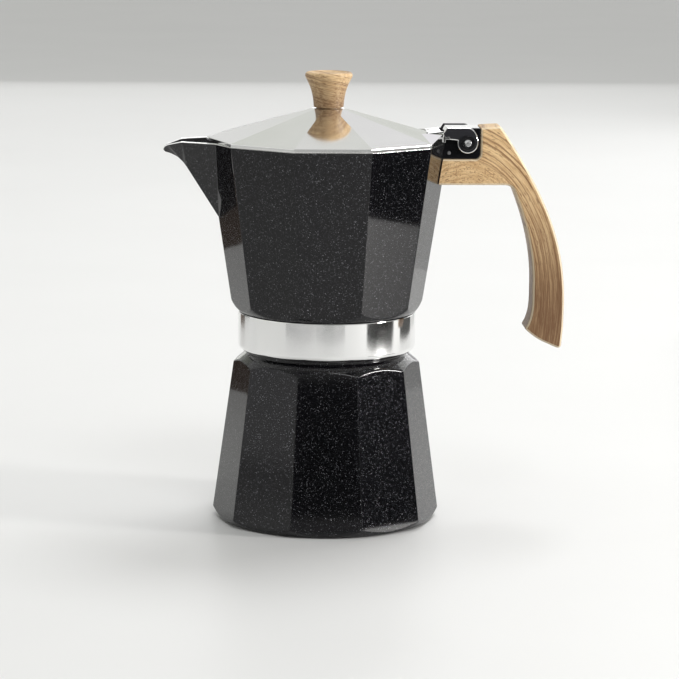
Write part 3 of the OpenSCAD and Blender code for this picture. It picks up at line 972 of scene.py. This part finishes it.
def filter_plate():
    top = high("filter_plate", "z")
    r = high("filter_plate", "x")
    points = [(0.5, top - 1.4), (24, top - 1.4, 0.5), (25, top - 0.6, 0.5), (r, top - 0.6, 0.25)]
    points += [(r, top, 0.25), (24.5, top, 0.5), (23.5, top - 0.8, 0.5), (0.5, top - 0.8)]
    obj = turned("filter_disc", rounded(points, 0.01, 4, closed=False), 96, loop=False)
    combine(obj, holes("drill", 22.0, 2.8, 0.55, top - 3, top + 1), solver="MANIFOLD")
    finish(obj, "filter", "steel", "filter_plate", material=steel_disc)


def gasket():
    bottom, top = low("gasket", "z"), high("gasket", "z")
    r = high("gasket", "x")
    points = [(28.7, bottom, 0.7), (r, bottom, 0.7), (r, top, 0.5), (34.2, top, 0.15)]
    points += [(33.9, top - 0.25, 0.1), (30.8, top - 0.25, 0.1), (30.5, top, 0.15), (28.7, top, 0.5)]
    ring = turned("seal_ring", rounded(points, 0.3, 4), 112)
    finish(ring, "seal", "silicone", "gasket", material=silicone)


# ---------------------------------------------------------------- upper chamber


CHAMBER_FOOT_R, CHAMBER_FOOT_Z = 43.5, 98.6
SPIGOT_IN, SPIGOT_OUT, SPIGOT_LOW = 36.3, 38.8, 92.8
RIVET_ALONG = 12.3
UNDER_R = 14.0
UNDER_X, UNDER_Z = 31.4, 107.0
UNDER_SLOPE = 1.6


def under_radius(z):
    """The turned underside of the chamber: part of a circle, and a cone over it."""
    under = min(z - UNDER_Z, 0)
    return UNDER_X + math.sqrt(max(UNDER_R ** 2 - under ** 2, 0)) + max(z - UNDER_Z, 0) * UNDER_SLOPE


SPOUT_ROOT = (-49.5, 0, 138.2)
SPOUT_CORNER = (-44.4, 32.2, RIM_Z)
SPOUT_CHEEK = (-51.3, 18.1, RIM_Z)
SPOUT_BEAK = (-66.2, 10.4, RIM_Z)
SPOUT_LIP = (-72.4, 5.0, 172.0)
SPOUT_EDGE = (-74.0, 3.0, 171.1)
SPOUT_CHIN = (-74.0, 0, 168.3)
SPOUT_TIP = (-74.9, 0, 169.5)


def beak(name, keel, rim, tip_rim):
    """A beak from its keel, root first, and the places of its rim on the +Y side, root first. The
    last place of the rim meets the keel's last point."""
    verts = list(keel) + mirrored(rim + [tip_rim])
    start, count = len(keel), len(rim) + 1
    left = [start + 2 * i for i in range(count)]
    right = [start + 2 * i + 1 for i in range(count)]
    faces = [(0, left[0], right[0])]
    for side in (left, right):
        k = 0
        for i in range(count - 1):
            share = round((i + 1) * (len(keel) - 1) / count)
            faces.append((k, side[i], side[i + 1]))
            while k < share:
                faces.append((k, side[i + 1], k + 1))
                k += 1
        while k < len(keel) - 1:
            faces.append((k, side[-1], k + 1))
            k += 1
    for i in range(count - 1):
        faces.append((left[i], left[i + 1], right[i + 1], right[i]))
    faces.append((left[-1], len(keel) - 1, right[-1]))
    return new_object(name, verts, faces)


def spout():
    """The beak outside: a keel that curves out under the lip, with flat sides up to the rim."""
    keel = [SPOUT_ROOT, (-56.8, 0, 149.7)]
    keel += [tuple(p) for p in curve((-64.2, 0, 161.3), (-66.4, 0, 164.9), (-69.2, 0, 167.4), SPOUT_CHIN, 8)]
    keel.append(SPOUT_TIP)
    rim = [SPOUT_CORNER, SPOUT_CHEEK, SPOUT_BEAK, SPOUT_LIP]
    return bevel(beak("spout", keel, rim, SPOUT_EDGE), 0.35, angle=14, segments=3)


def throat():
    """The room inside the beak, open at the top and at the tip."""
    over = RIM_Z + 2
    keel = [(-40.5, 0, 133.0), (-46.2, 0, 141.6), (-55.0, 0, 153.8)]
    bend = (-62.4, 0, 164.4), (-65.0, 0, 167.4), (-68.4, 0, 168.7), (-76, 0, 170.2)
    keel += [tuple(p) for p in curve(*bend, 6)]
    rim = [(-36, 30, over), (-50.2, 15.8, over), (-65, 8.4, over)]
    return beak("throat", keel, rim, (-76.2, 2.0, over))


def upper_chamber():
    outside = Facets(CHAMBER_FOOT_Z, CHAMBER_FOOT_R, RIM_Z, RIM_R, 0.9)
    arch = [outside.meeting(i, under_radius, CHAMBER_LOW, 112) for i in range(ROUND)]
    rings = [outside.circle(0.5, CHAMBER_LOW)]
    rings.append(outside.circle(under_radius(CHAMBER_LOW) - 0.3, CHAMBER_LOW))
    for t in (0.04, 0.3, 0.6, 0.8):
        heights = [mix(CHAMBER_LOW, z - NEAR[0], t) for z in arch]
        rings.append(outside.edge_ring(heights, under_radius))
    rings += outside.edge_rings(arch, under_radius)
    for t in (0.02, 0.5):
        heights = [mix(z + NEAR[0], RIM_Z - 0.3, t) for z in arch]
        rings.append([(*outside.point(i, z), z) for i, z in enumerate(heights)])
    rings += [outside.ring(RIM_Z - 0.3), outside.ring(RIM_Z - 0.09, 0.09), outside.ring(RIM_Z, 0.3)]
    rings.append(outside.circle(0.5, RIM_Z))
    obj = loft("chamber_shell", rings)
    combine(obj, spout(), "UNION")

    inside = Facets(CHAMBER_FOOT_Z, CHAMBER_FOOT_R - WALL, RIM_Z, RIM_R - WALL, 1.6)
    rings = [inside.circle(0.5, CHAMBER_FLOOR)]
    for rise, shrink in ((0, 2.4), (0.5, 1.1), (1.2, 0.35), (2.6, 0.0)):
        rings.append(inside.ring(CHAMBER_FLOOR + rise, shrink))
    for rise, shrink in ((-0.4, 0.0), (0.05, -0.35), (2, -0.4)):
        rings.append(inside.ring(RIM_Z + rise, shrink))
    rings.append(inside.circle(0.5, RIM_Z + 2))
    combine(obj, loft("cavity", rings))
    combine(obj, throat())

    drill(obj, COLUMN_R + SLIP, CHAMBER_LOW - 1, CHAMBER_FLOOR + 1, steps=64)
    spigot = [(SPIGOT_IN, SPIGOT_LOW), (SPIGOT_OUT, SPIGOT_LOW)]
    spigot += [(SPIGOT_OUT, CHAMBER_LOW + 0.3), (SPIGOT_IN, CHAMBER_LOW + 0.3)]
    combine(obj, turned("spigot", spigot, 128), "UNION")
    for side in (-1, 1):
        drill(obj, SMALL_PIN_R + SLIP, 45.5, 56, facet_axis(side))
    clean(obj)
    finish(obj, "upper", "black_paint", "upper_chamber", material=chamber_paint)


def facet_axis(side):
    """Takes a shape turned about Z to the line of a bracket rivet, square to the facet beside the
    bracket."""
    height = (low("bracket_rivets", "z") + high("bracket_rivets", "z")) / 2
    turn = Matrix.Rotation(side * HALF_FACET, 4, "Z")
    return turn @ Matrix.Translation((0, -side * RIVET_ALONG, height)) @ Matrix.Rotation(math.pi / 2, 4, "Y")


def threaded_collar():
    """Polished ring: a bright top edge, a straight band and a rolled lower lip, threaded inside."""
    bore = NECK_R + 0.4
    wave = thread(COLLAR_LOW + 0.8, 92.0, 0.7, sign=1)

    def inner_only(angle, z, r):
        return wave(angle, z, r) if abs(r - bore) < 0.01 else 0

    points = [(bore, z) for z in span(92.7, COLLAR_LOW + 0.6, 70)]
    points += [(bore + 0.4, COLLAR_LOW), (COLLAR_R - 3, COLLAR_LOW)]
    points += [tuple(p) for p in arc((COLLAR_R - 3, COLLAR_LOW + 3), 3, -80, 0, 12)]
    points += [(COLLAR_R, CHAMBER_LOW - 0.5), (COLLAR_R - 0.15, CHAMBER_LOW - 0.15)]
    points += [(COLLAR_R - 0.5, CHAMBER_LOW), (38.85, CHAMBER_LOW), (38.85, 92.75)]
    obj = turned("collar_ring", points, 160, wave=inner_only)
    finish(obj, "upper", "polished_aluminium", "threaded_collar", material=bright)


def coffee_column():
    top = high("coffee_column", "z")
    bottom = low("coffee_column", "z")
    points = [(3.2, bottom, 0.2), (COLUMN_R, bottom, 0.2), (COLUMN_R, CHAMBER_FLOOR, 0.05)]
    points += [(9.0, CHAMBER_FLOOR, 0.05), (9.0, CHAMBER_FLOOR + 1, 0.4), (7.6, CHAMBER_FLOOR + 2, 1.5)]
    points += [(5.4, top - 8, 1.5), (6.2, top - 7, 0.4), (6.2, top - 3, 1.2), (3.0, top - 0.6, 1.5)]
    points += [(0.3, top), (0.3, top - 5), (3.2, top - 5, 0.2)]
    obj = turned("coffee_riser", rounded(points, 0.05, 4), 80)
    plug = turned("plug", [(0.6, top - 5), (0.6, top - 0.1)], 24, loop=False)
    combine(obj, plug, "UNION")
    port = Matrix.Translation((0, 0, top - 6.2)) @ Matrix.Rotation(math.pi / 2, 4, "Y")
    drill(obj, 1.6, -10, 10, port, 32)
    clean(obj)
    finish(obj, "upper", "spun_aluminium", "coffee_column", material=cast)


# ---------------------------------------------------------------- hinge


def wall_block(gap):
    """The chamber's outside, to cut out of what fits round it."""
    outside = Facets(CHAMBER_FOOT_Z, CHAMBER_FOOT_R, RIM_Z, RIM_R, 0.9)
    rings = [outside.ring(150, -gap), outside.ring(RIM_Z + 0.02, -gap)]
    return loft("wall", rings)


HANDLE_PIN_X, HANDLE_PIN_Z = 54.3, 169.3
TONGUE_HALF, TONGUE_TOP = 6.0, 170.8
BRACKET_SWEEP = 11.4


def hinge_bracket():
    lid_side = math.degrees(math.asin((BRACKET_TOP - HINGE_Z) / BRACKET_SWEEP))
    outline = [(50, ARM_TOP + 0.1)]
    outline += arc((BRACKET_RIGHT - 2.5, ARM_TOP + 2.6), 2.5, -90, 0, 8)
    outline += [(BRACKET_RIGHT, 175), (BRACKET_RIGHT, BRACKET_TOP, 0.6)]
    outline += arc((HINGE_X, HINGE_Z), BRACKET_SWEEP, 180 - lid_side, 180, 8)
    outline += [(50, HINGE_Z)]
    obj = slab("hinge_block", outline, -BRACKET_HALF, BRACKET_HALF, 0.4)
    combine(obj, wall_block(SLIP))
    combine(obj, block("slot", (40, -TONGUE_HALF - SLIP, 160), (90, TONGUE_HALF + SLIP, TONGUE_TOP)))
    drill(obj, PIN_R + SLIP, -20, 20, across(HINGE_X, HINGE_Z), 32)
    drill(obj, SMALL_PIN_R + SLIP, -20, 20, across(HANDLE_PIN_X, HANDLE_PIN_Z))
    clean(obj)
    finish(obj, "upper", "gloss_black", "hinge_bracket", material=black)

    shapes = []
    for side in (-1, 1):
        points = [(0.01, 47.85), (1.2, 47.85), (1.8, 48.3), (1.8, 49.05)]
        points += [(SMALL_PIN_R, 49.05), (SMALL_PIN_R, 54.8), (0.01, 54.8)]
        rivet = turned("rivet", rounded(points, 0.1, 3, closed=False), 40, loop=False)
        shapes.append(place(rivet, facet_axis(side)))
    finish(join("wall_rivets", shapes), "upper", "steel", "bracket_rivets", material=steel)


def hinge_pin():
    half = high("hinge_pin", "y")
    points = [(0.01, -half), (0.55, -half), (0.7, -half + 0.18), (PIN_R - 0.35, -half + 0.1)]
    points.append((PIN_R, -half + 0.4))
    points += [(r, -z) for r, z in reversed(points)]
    obj = place(turned("hinge_rod", points, 48, loop=False), across(HINGE_X, HINGE_Z))
    finish(obj, "upper", "steel", "hinge_pin", material=steel)

    shapes = []
    outer = high("hinge_washers", "x") - HINGE_X
    start, end = EAR_OUT + SLIP, high("hinge_washers", "y")
    for side in (-1, 1):
        points = [(PIN_R + SLIP, start), (outer, start), (outer, end, 0.25), (outer - 0.9, end, 0.1)]
        points += [(outer - 1.05, end - 0.2, 0.1), (PIN_R + 0.5, end - 0.2, 0.1)]
        points.append((PIN_R + SLIP, end - 0.05))
        ring = turned("washer", [(r, side * z) for r, z in rounded(points, 0.05, 3)], 56)
        shapes.append(place(ring, across(HINGE_X, HINGE_Z)))
    finish(join("hinge_rings", shapes), "lid", "gloss_black", "hinge_washers", material=black)


EAR_RIVET_R = 1.3
TAB_CORNERS = [(46.6, 174.3), (52.6, 174.3), (52.6, 175.7), (54.6, 175.5)]
TAB_CORNERS += [(54.2, 176.9), (52.4, 176.5), (51.7, 178.3), (46.6, 177.9)]
TAB_ROUNDING = 0.2


def ear_rivet(side):
    """Takes a shape turned about Z to one of the rivets that hold the ears' bar under the lid."""
    return Matrix.Translation((45.3, side * 5, 0))


def ear_outline():
    """The ear from the side: a round lobe about the pin, a flat top and a tail over the lid's edge."""
    reach = high("lid_hinge", "x") - HINGE_X
    top = high("lid_hinge", "z")
    outline = arc((HINGE_X, HINGE_Z), reach, 167, 356, 26)
    right = HINGE_X + reach
    over = (HINGE_X + 3, top), (HINGE_X - 0.2, top)
    outline += curve((right, HINGE_Z + 0.2), (right, HINGE_Z + 3.2), *over, 10)
    outline += [(58, top), (52.9, top, 0.6), (51.6, 178.9, 0.5), (46.5, 178.3, 0.4), (46.5, 174.2, 0.4)]
    outline += [(52.8, 174.2, 0.3), (52.8, 175.6, 0.3), (57.0, 175.2)]
    return outline


def lid_hinge():
    """Two black ears with bare, bright edges, on a bar under the lid, and the lid's own tabs against them."""
    outline = ear_outline()
    shapes = []
    for side in (-1, 1):
        near, far = sorted((side * EAR_IN, side * EAR_OUT))
        ear = slab("ear", outline, near, far, 0.5, steps=3)
        for m in (charcoal, bright):
            ear.data.materials.append(m)
        for face in ear.data.polygons:
            edge = 0.1 < abs(face.normal.y) < 0.98 and abs(face.center.y) > (EAR_OUT - 0.52) * MM
            face.material_index = 1 if edge else 0
        shapes.append(drill(ear, PIN_R + SLIP, -20, 20, across(HINGE_X, HINGE_Z), 32))
        tab = [(x, z, TAB_ROUNDING) for x, z in TAB_CORNERS]
        outer = EAR_OUT + 0.1
        near, far = sorted((side * (EAR_OUT - 0.6), side * outer))
        plate = slab("tab", tab, near, far, 0.15, steps=2)
        plate.data.materials.append(bright)
        shapes.append(plate)
    bar = block("bar", (low("lid_hinge", "x"), -EAR_OUT, low("lid_hinge", "z")),
                (47.3, EAR_OUT, RIM_Z + 1.0))
    bevel(bar, 0.2)
    for side in (-1, 1):
        drill(bar, EAR_RIVET_R + SLIP, 168, 188, ear_rivet(side))
    bar.data.materials.append(bright)
    shapes.append(bar)
    finish(join("lid_ears", shapes), "lid", "gloss_black", "lid_hinge")

    shapes = []
    bottom, top = low("lid_rivets", "z"), high("lid_rivets", "z")
    for side in (-1, 1):
        points = [(0.01, bottom), (1.4, bottom), (2.2, bottom + 0.5), (2.3, bottom + 1)]
        points += [(EAR_RIVET_R, bottom + 1), (EAR_RIVET_R, top - 0.2), (1.1, top), (0.01, top)]
        rivet = turned("rivet", rounded(points, 0.15, 3, closed=False), 40, loop=False)
        shapes.append(place(rivet, ear_rivet(side)))
    finish(join("ear_rivets", shapes), "lid", "steel", "lid_rivets", material=steel)


# ---------------------------------------------------------------- handle


ARM_UNDER = 154.6
STUD_END = 4.2
STUD_HOLE_END = 4.15


def grip_outline():
    """The handle from the side: a notch for the bracket, the arm, the drooping grip and its slanted end."""
    outline = [(44, ARM_TOP)]
    outline += arc((BRACKET_RIGHT - 2.4, ARM_TOP + 2.5), 2.5, -90, 0, 8)
    outline += [(BRACKET_RIGHT + 0.1, 175), (BRACKET_RIGHT + 0.1, 180.8, 0.6), (77.6, 181.3, 1.5)]
    outline += curve((79.7, 178.5), (97.2, 151.7), (GRIP_REACH, 131), (GRIP_REACH, 100), 26)
    outline += [(108.0, 90), (107.1, 79.0, 1.5)]
    outline += curve((100.4, 81.9), (97, 83.3), (95, 84.7), (93, 86.3), 4)
    outline += [(90.4, 88.5, 0.9)]
    outline += curve((91.8, 91.2), (93.4, 95), (93.6, 99), (93.6, 104), 6)
    outline += curve((93.6, 110), (93.4, 122), (91, 135), (84.8, 150.5), 16)
    outline += curve((84.2, 152.2), (83.2, 153.8), (82, ARM_UNDER), (80, ARM_UNDER), 6)
    outline += [(70, ARM_UNDER), (44, ARM_UNDER)]
    return outline


def handle():
    obj = slab("handle_body", grip_outline(), -GRIP_HALF, GRIP_HALF, 1.3, steps=5)
    tongue = block("tongue", (50, -TONGUE_HALF, 160), (BRACKET_RIGHT, TONGUE_HALF, TONGUE_TOP - SLIP))
    combine(obj, tongue, "UNION")
    combine(obj, wall_block(0.4))
    for side in (-1, 1):
        near, far = sorted((side * STUD_HOLE_END, side * 20))
        drill(obj, SMALL_PIN_R + SLIP, near, far, across(HANDLE_PIN_X, HANDLE_PIN_Z))
    clean(obj)
    bevel(obj, 0.4, angle=50)
    finish(obj, "upper", "wood", "handle_grip", material=handle_wood)

    shapes = []
    tip = high("handle_pins", "y")
    for side in (-1, 1):
        points = [(0.01, STUD_END), (SMALL_PIN_R, STUD_END), (SMALL_PIN_R, tip - 0.25)]
        points += [(0.7, tip - 0.05), (0.3, tip), (0.01, tip)]
        pin = turned("pin", [(r, side * z) for r, z in points], 24, loop=False)
        shapes.append(place(pin, across(HANDLE_PIN_X, HANDLE_PIN_Z)))
    finish(join("handle_studs", shapes), "upper", "steel", "handle_pins", material=dark_steel)


# ---------------------------------------------------------------- lid and knob


LID_RIM = 175.4
LID_FLAT_R = 7.6
NOTCH_X, NOTCH_HALF = 50.6, 10.8
EAR_SLOT_X = 46.4


def lid():
    slope = Facets(LID_RIM, RIM_R, LID_TOP, LID_FLAT_R, 0.3)
    band = Facets(RIM_Z, RIM_R, LID_RIM, RIM_R + 0.0001, 0.3)
    under = Facets(LID_RIM - 0.95, RIM_R - 3.8, LID_TOP - LID_WALL, LID_FLAT_R, 0.3)
    rings = [slope.circle(2.2, LID_TOP), slope.ring(LID_TOP - 0.001, 0.4)]
    rings += [slope.ring(z) for z in (LID_TOP - 0.15, LID_TOP - 5, LID_RIM + 4, LID_RIM + 0.18)]
    rings += [band.ring(LID_RIM + 0.06, 0.2), band.ring(LID_RIM - 0.06, 0.03), band.ring(LID_RIM - 0.3)]
    rings += [band.ring(RIM_Z + 0.28), band.ring(RIM_Z + 0.08, 0.07), band.ring(RIM_Z, 0.25)]
    rings += [band.ring(RIM_Z, 2.66), band.ring(LID_RIM - 0.95, 3.61)]
    rings += [under.ring(LID_TOP - LID_WALL), under.circle(2.2, LID_TOP - LID_WALL)]
    obj = loft("lid_cover", rings, loop=True)
    for side in (-1, 1):
        wedge = [(44.58, 32.38, LID_RIM), (51.6, NOTCH_HALF, LID_RIM - 0.8), (51.6, NOTCH_HALF, 178.3)]
        wedge += [(41.2, NOTCH_HALF, 178.2), (41.2, NOTCH_HALF, LID_RIM + 1.8), (44, 30, LID_RIM - 0.2)]
        combine(obj, hull("wedge", [(x, side * y, z) for x, y, z in wedge]), "UNION")
    ramp = mirrored([(44.6, NOTCH_HALF, 178.3), (44.6, NOTCH_HALF, 176.5), (51.4, NOTCH_HALF, 179.15)])
    ramp += mirrored([(51.4, NOTCH_HALF, 175.5), (46.0, NOTCH_HALF, 175.5)])
    combine(obj, hull("ramp", ramp), "UNION")
    half = BRACKET_HALF + 0.3
    combine(obj, block("notch", (NOTCH_X, -half, 168), (NOTCH_X + 20, half, 188)))
    for side in (-1, 1):
        inner, outer = side * (EAR_IN - 0.3), side * NOTCH_HALF
        tail = [(EAR_SLOT_X, y, z) for y in (inner, outer) for z in (168, 178.32)]
        tail += [(NOTCH_X + 5, y, z) for y in (inner, outer) for z in (168, 178.95)]
        combine(obj, hull("ear_slot", tail))
        drill(obj, EAR_RIVET_R + SLIP, 168, 188, ear_rivet(side))
    clean(obj)
    finish(obj, "lid", "polished_aluminium", "lid", material=bright, sharp=12)


SCREW_R = 1.75


def knob():
    foot = 6.6
    waist = (foot + 0.2, LID_TOP + 1), (foot + 0.6, LID_TOP + 7)
    flare = curve(*waist, (KNOB_R - 2.4, LID_TOP + 10), (KNOB_R - 0.2, KNOB_TOP - 2.4), 18)
    side = (KNOB_R, KNOB_TOP - 1.6), (KNOB_R, KNOB_TOP - 0.6)
    lip = curve(*side, (KNOB_R - 0.6, KNOB_TOP), (KNOB_R - 1.6, KNOB_TOP), 8)
    profile = [(0.3, LID_TOP + 10), (1.8, LID_TOP + 10), (1.8, LID_TOP), (foot - 1.0, LID_TOP)]
    profile += [(foot - 1.0, LID_TOP + 0.4), (foot - 0.1, LID_TOP + 0.45)]
    profile += [(foot + 0.08, LID_TOP + 0.6)]
    profile += [tuple(p) for p in flare + lip]
    profile += [(KNOB_R - 2.4, KNOB_TOP - 0.18), (KNOB_R - 3.4, KNOB_TOP - 0.6), (4, KNOB_TOP - 0.95)]
    profile.append((0.3, KNOB_TOP - 1))
    obj = turned("knob_body", profile, 128, loop=False)
    finish(obj, "lid", "wood", "knob", material=knob_wood, sharp=50)

    seat = low("knob_washer", "z")
    bottom = low("knob_screw", "z")
    end = high("knob_screw", "z")
    points = [(0.01, bottom), (1.8, bottom), (3.1, bottom + 0.5), (3.4, bottom + 1.2)]
    points += [(3.4, seat), (SCREW_R, seat)]
    head = rounded(points, 0.3, 4, closed=False)
    shank = [(SCREW_R, z) for z in span(seat + 0.3, end - 0.8, 50)] + [(1.1, end), (0.01, end)]

    def wave(angle, z, r):
        return thread(seat + 1, end - 0.6, 0.3)(angle, z * 2.5, r) if r == SCREW_R else 0

    screw = turned("lid_screw", [tuple(p) for p in head] + shank, 48, loop=False, wave=wave)
    combine(screw, block("slot", (-2.3, -0.4, bottom - 1), (2.3, 0.4, bottom + 0.9)))
    combine(screw, block("slot", (-0.4, -2.3, bottom - 1), (0.4, 2.3, bottom + 0.9)))
    finish(screw, "lid", "steel", "knob_screw", material=steel)

    top = high("knob_washer", "z")
    ring = turned("lid_washer", rounded([(2.0, seat), (4.2, seat), (4.2, top), (2.0, top)], 0.2, 3), 56)
    finish(ring, "lid", "steel", "knob_washer", material=steel)


# ---------------------------------------------------------------- floor, light and camera


def stage():
    far = 9000
    corners = [(-far, -far, -0.02), (far, -far, -0.02), (far, far, -0.02), (-far, far, -0.02)]
    floor = new_object("floor", corners, [(0, 1, 2, 3)])
    s = Shader("pale_floor", roughness=0.42, specular_ior_level=0.35)
    s.set("base color", s.blend(s.noise(6.0, 4.0), (0.70, 0.70, 0.695), (0.74, 0.74, 0.735)))
    floor.data.materials.append(s.material)
    studio()


ROOM_LIGHT = 0.5


def studio():
    """The room as light: a window behind, a pale wall on the left, and an even light elsewhere."""
    world = bpy.data.worlds.new("studio")
    bpy.context.scene.world = world
    world.use_nodes = True
    s = Nodes(world.node_tree, "Generated")
    window = ((0, 0.85, 0.53), 0.2, 0.95, 0.8)
    wall = ((-1, 0, 0), 0.45, 0.95, 1.05)
    total = ROOM_LIGHT
    for toward, start, end, strength in (window, wall):
        facing = s.add("VectorMath", {0: s.place, 1: toward}, operation="DOT_PRODUCT")
        lobe = s.ramp(facing.outputs["Value"], start, end, 0.02, strength)
        total = s.math("MAXIMUM", lobe, total)
    clouds = {"Value": s.noise(4.5, 1.0), "From Min": 0.36, "From Max": 0.64}
    mottle = s.add("MapRange", clouds).outputs["Result"]
    background = s.tree.nodes["Background"].inputs
    s.feed(background["Color"], s.blend(mottle, (0.76, 0.79, 0.70), (1.1, 1.08, 1.12)))
    s.feed(background["Strength"], total)


def card(name, start, end, foot, top, colour):
    """A standing card seen only in reflections, between two places on the floor and two heights."""
    corners = [(*start, foot), (*end, foot), (*end, top), (*start, top)]
    obj = new_object(name, corners, [(0, 1, 2, 3)])
    s = Shader(name + "_cloth", specular_ior_level=0.0)
    s.set("base color", s.blend(s.noise(40.0), tuple(c * 0.92 for c in colour), colour))
    obj.data.materials.append(s.material)
    for kind in ("camera", "diffuse", "shadow"):
        setattr(obj, "visible_" + kind, False)


def cards():
    """What the pot mirrors in place of the hob, the worktop and the room."""
    card("black_card", (450, -330), (560, 10), 0, 130, (0.04, 0.04, 0.04))
    card("kerb_card", (150, -130), (202, 10), 0, 16, (0.03, 0.03, 0.03))
    card("high_card", (290, -260), (360, -20), 26, 80, (0.03, 0.03, 0.03))
    card("slate_card", (520, 130), (405, 375), 0, 60, (0.1, 0.1, 0.1))
    card("edge_card", (410, 390), (248, 508), -40, 95, (0.8, 0.8, 0.8))
    card("dark_card", (100, -1090), (330, -1100), 0, 200, (0.03, 0.03, 0.03))
    card("front_card", (-75, -605), (75, -605), 24, 112, (0.02, 0.02, 0.02))
    card("grey_card", (-155, -580), (205, -564), 0, 21, (0.42, 0.42, 0.425))
    card("side_card", (-491, -344), (-155, -580), 0, 21, (0.42, 0.42, 0.425))
    card("brown_card", (-290, 480), (-430, 385), 0, 45, (0.11, 0.085, 0.07))
    card("spout_card", (-330, 160), (-245, 250), 44, 110, (0.02, 0.02, 0.02))


def lamp(name, spot, size, power, warmth=0.0):
    """A soft box aimed at the pot, with its place in metres."""
    data = bpy.data.lights.new(name, "AREA")
    data.shape = "RECTANGLE"
    data.size, data.size_y = size
    data.energy = power
    data.color = (1.0, 1.0 - 0.04 * warmth, 1.0 - 0.1 * warmth)
    obj = bpy.data.objects.new(name, data)
    bpy.context.scene.collection.objects.link(obj)
    obj.location = spot
    obj.rotation_euler = (Vector((0, 0, 0.1)) - Vector(spot)).to_track_quat("-Z", "Y").to_euler()
    obj.visible_camera = False


def lights():
    lamp("window", (1.0, 1.35, 0.62), (1.1, 1.1), 6)
    lamp("horizon", (-0.05, 2.3, 0.28), (1.3, 0.4), 1.6)
    lamp("top_box", (0.45, 0.65, 1.6), (0.8, 0.6), 12)
    lamp("key", (1.25, -0.4, 0.3), (0.2, 0.2), 13.0, warmth=0.4)
    lamp("front_fill", (0.35, -1.2, 1.5), (0.7, 0.5), 8.2)


CAMERA_SPOT = Vector((-59.1, -1345.6, 316.7)) * MM
CAMERA_AIM = Vector((5.92, -0.29, 82.2)) * MM
CAMERA_ROLL = math.radians(0.543)
CAMERA_LENS = 157.9


def camera():
    data = bpy.data.cameras.new("camera")
    data.sensor_width = 36
    data.lens = CAMERA_LENS
    obj = bpy.data.objects.new("camera", data)
    bpy.context.scene.collection.objects.link(obj)
    aim = (CAMERA_AIM - CAMERA_SPOT).to_track_quat("-Z", "Y").to_matrix().to_4x4()
    obj.matrix_world = Matrix.Translation(CAMERA_SPOT) @ aim @ Matrix.Rotation(CAMERA_ROLL, 4, "Z")
    bpy.context.scene.camera = obj
    bpy.context.scene.view_settings.view_transform = "Standard"


boiler()
induction_disc()
valve()
funnel()
filter_plate()
gasket()
upper_chamber()
threaded_collar()
coffee_column()
hinge_bracket()
hinge_pin()
lid_hinge()
handle()
lid()
knob()
stage()
cards()
lights()
camera()
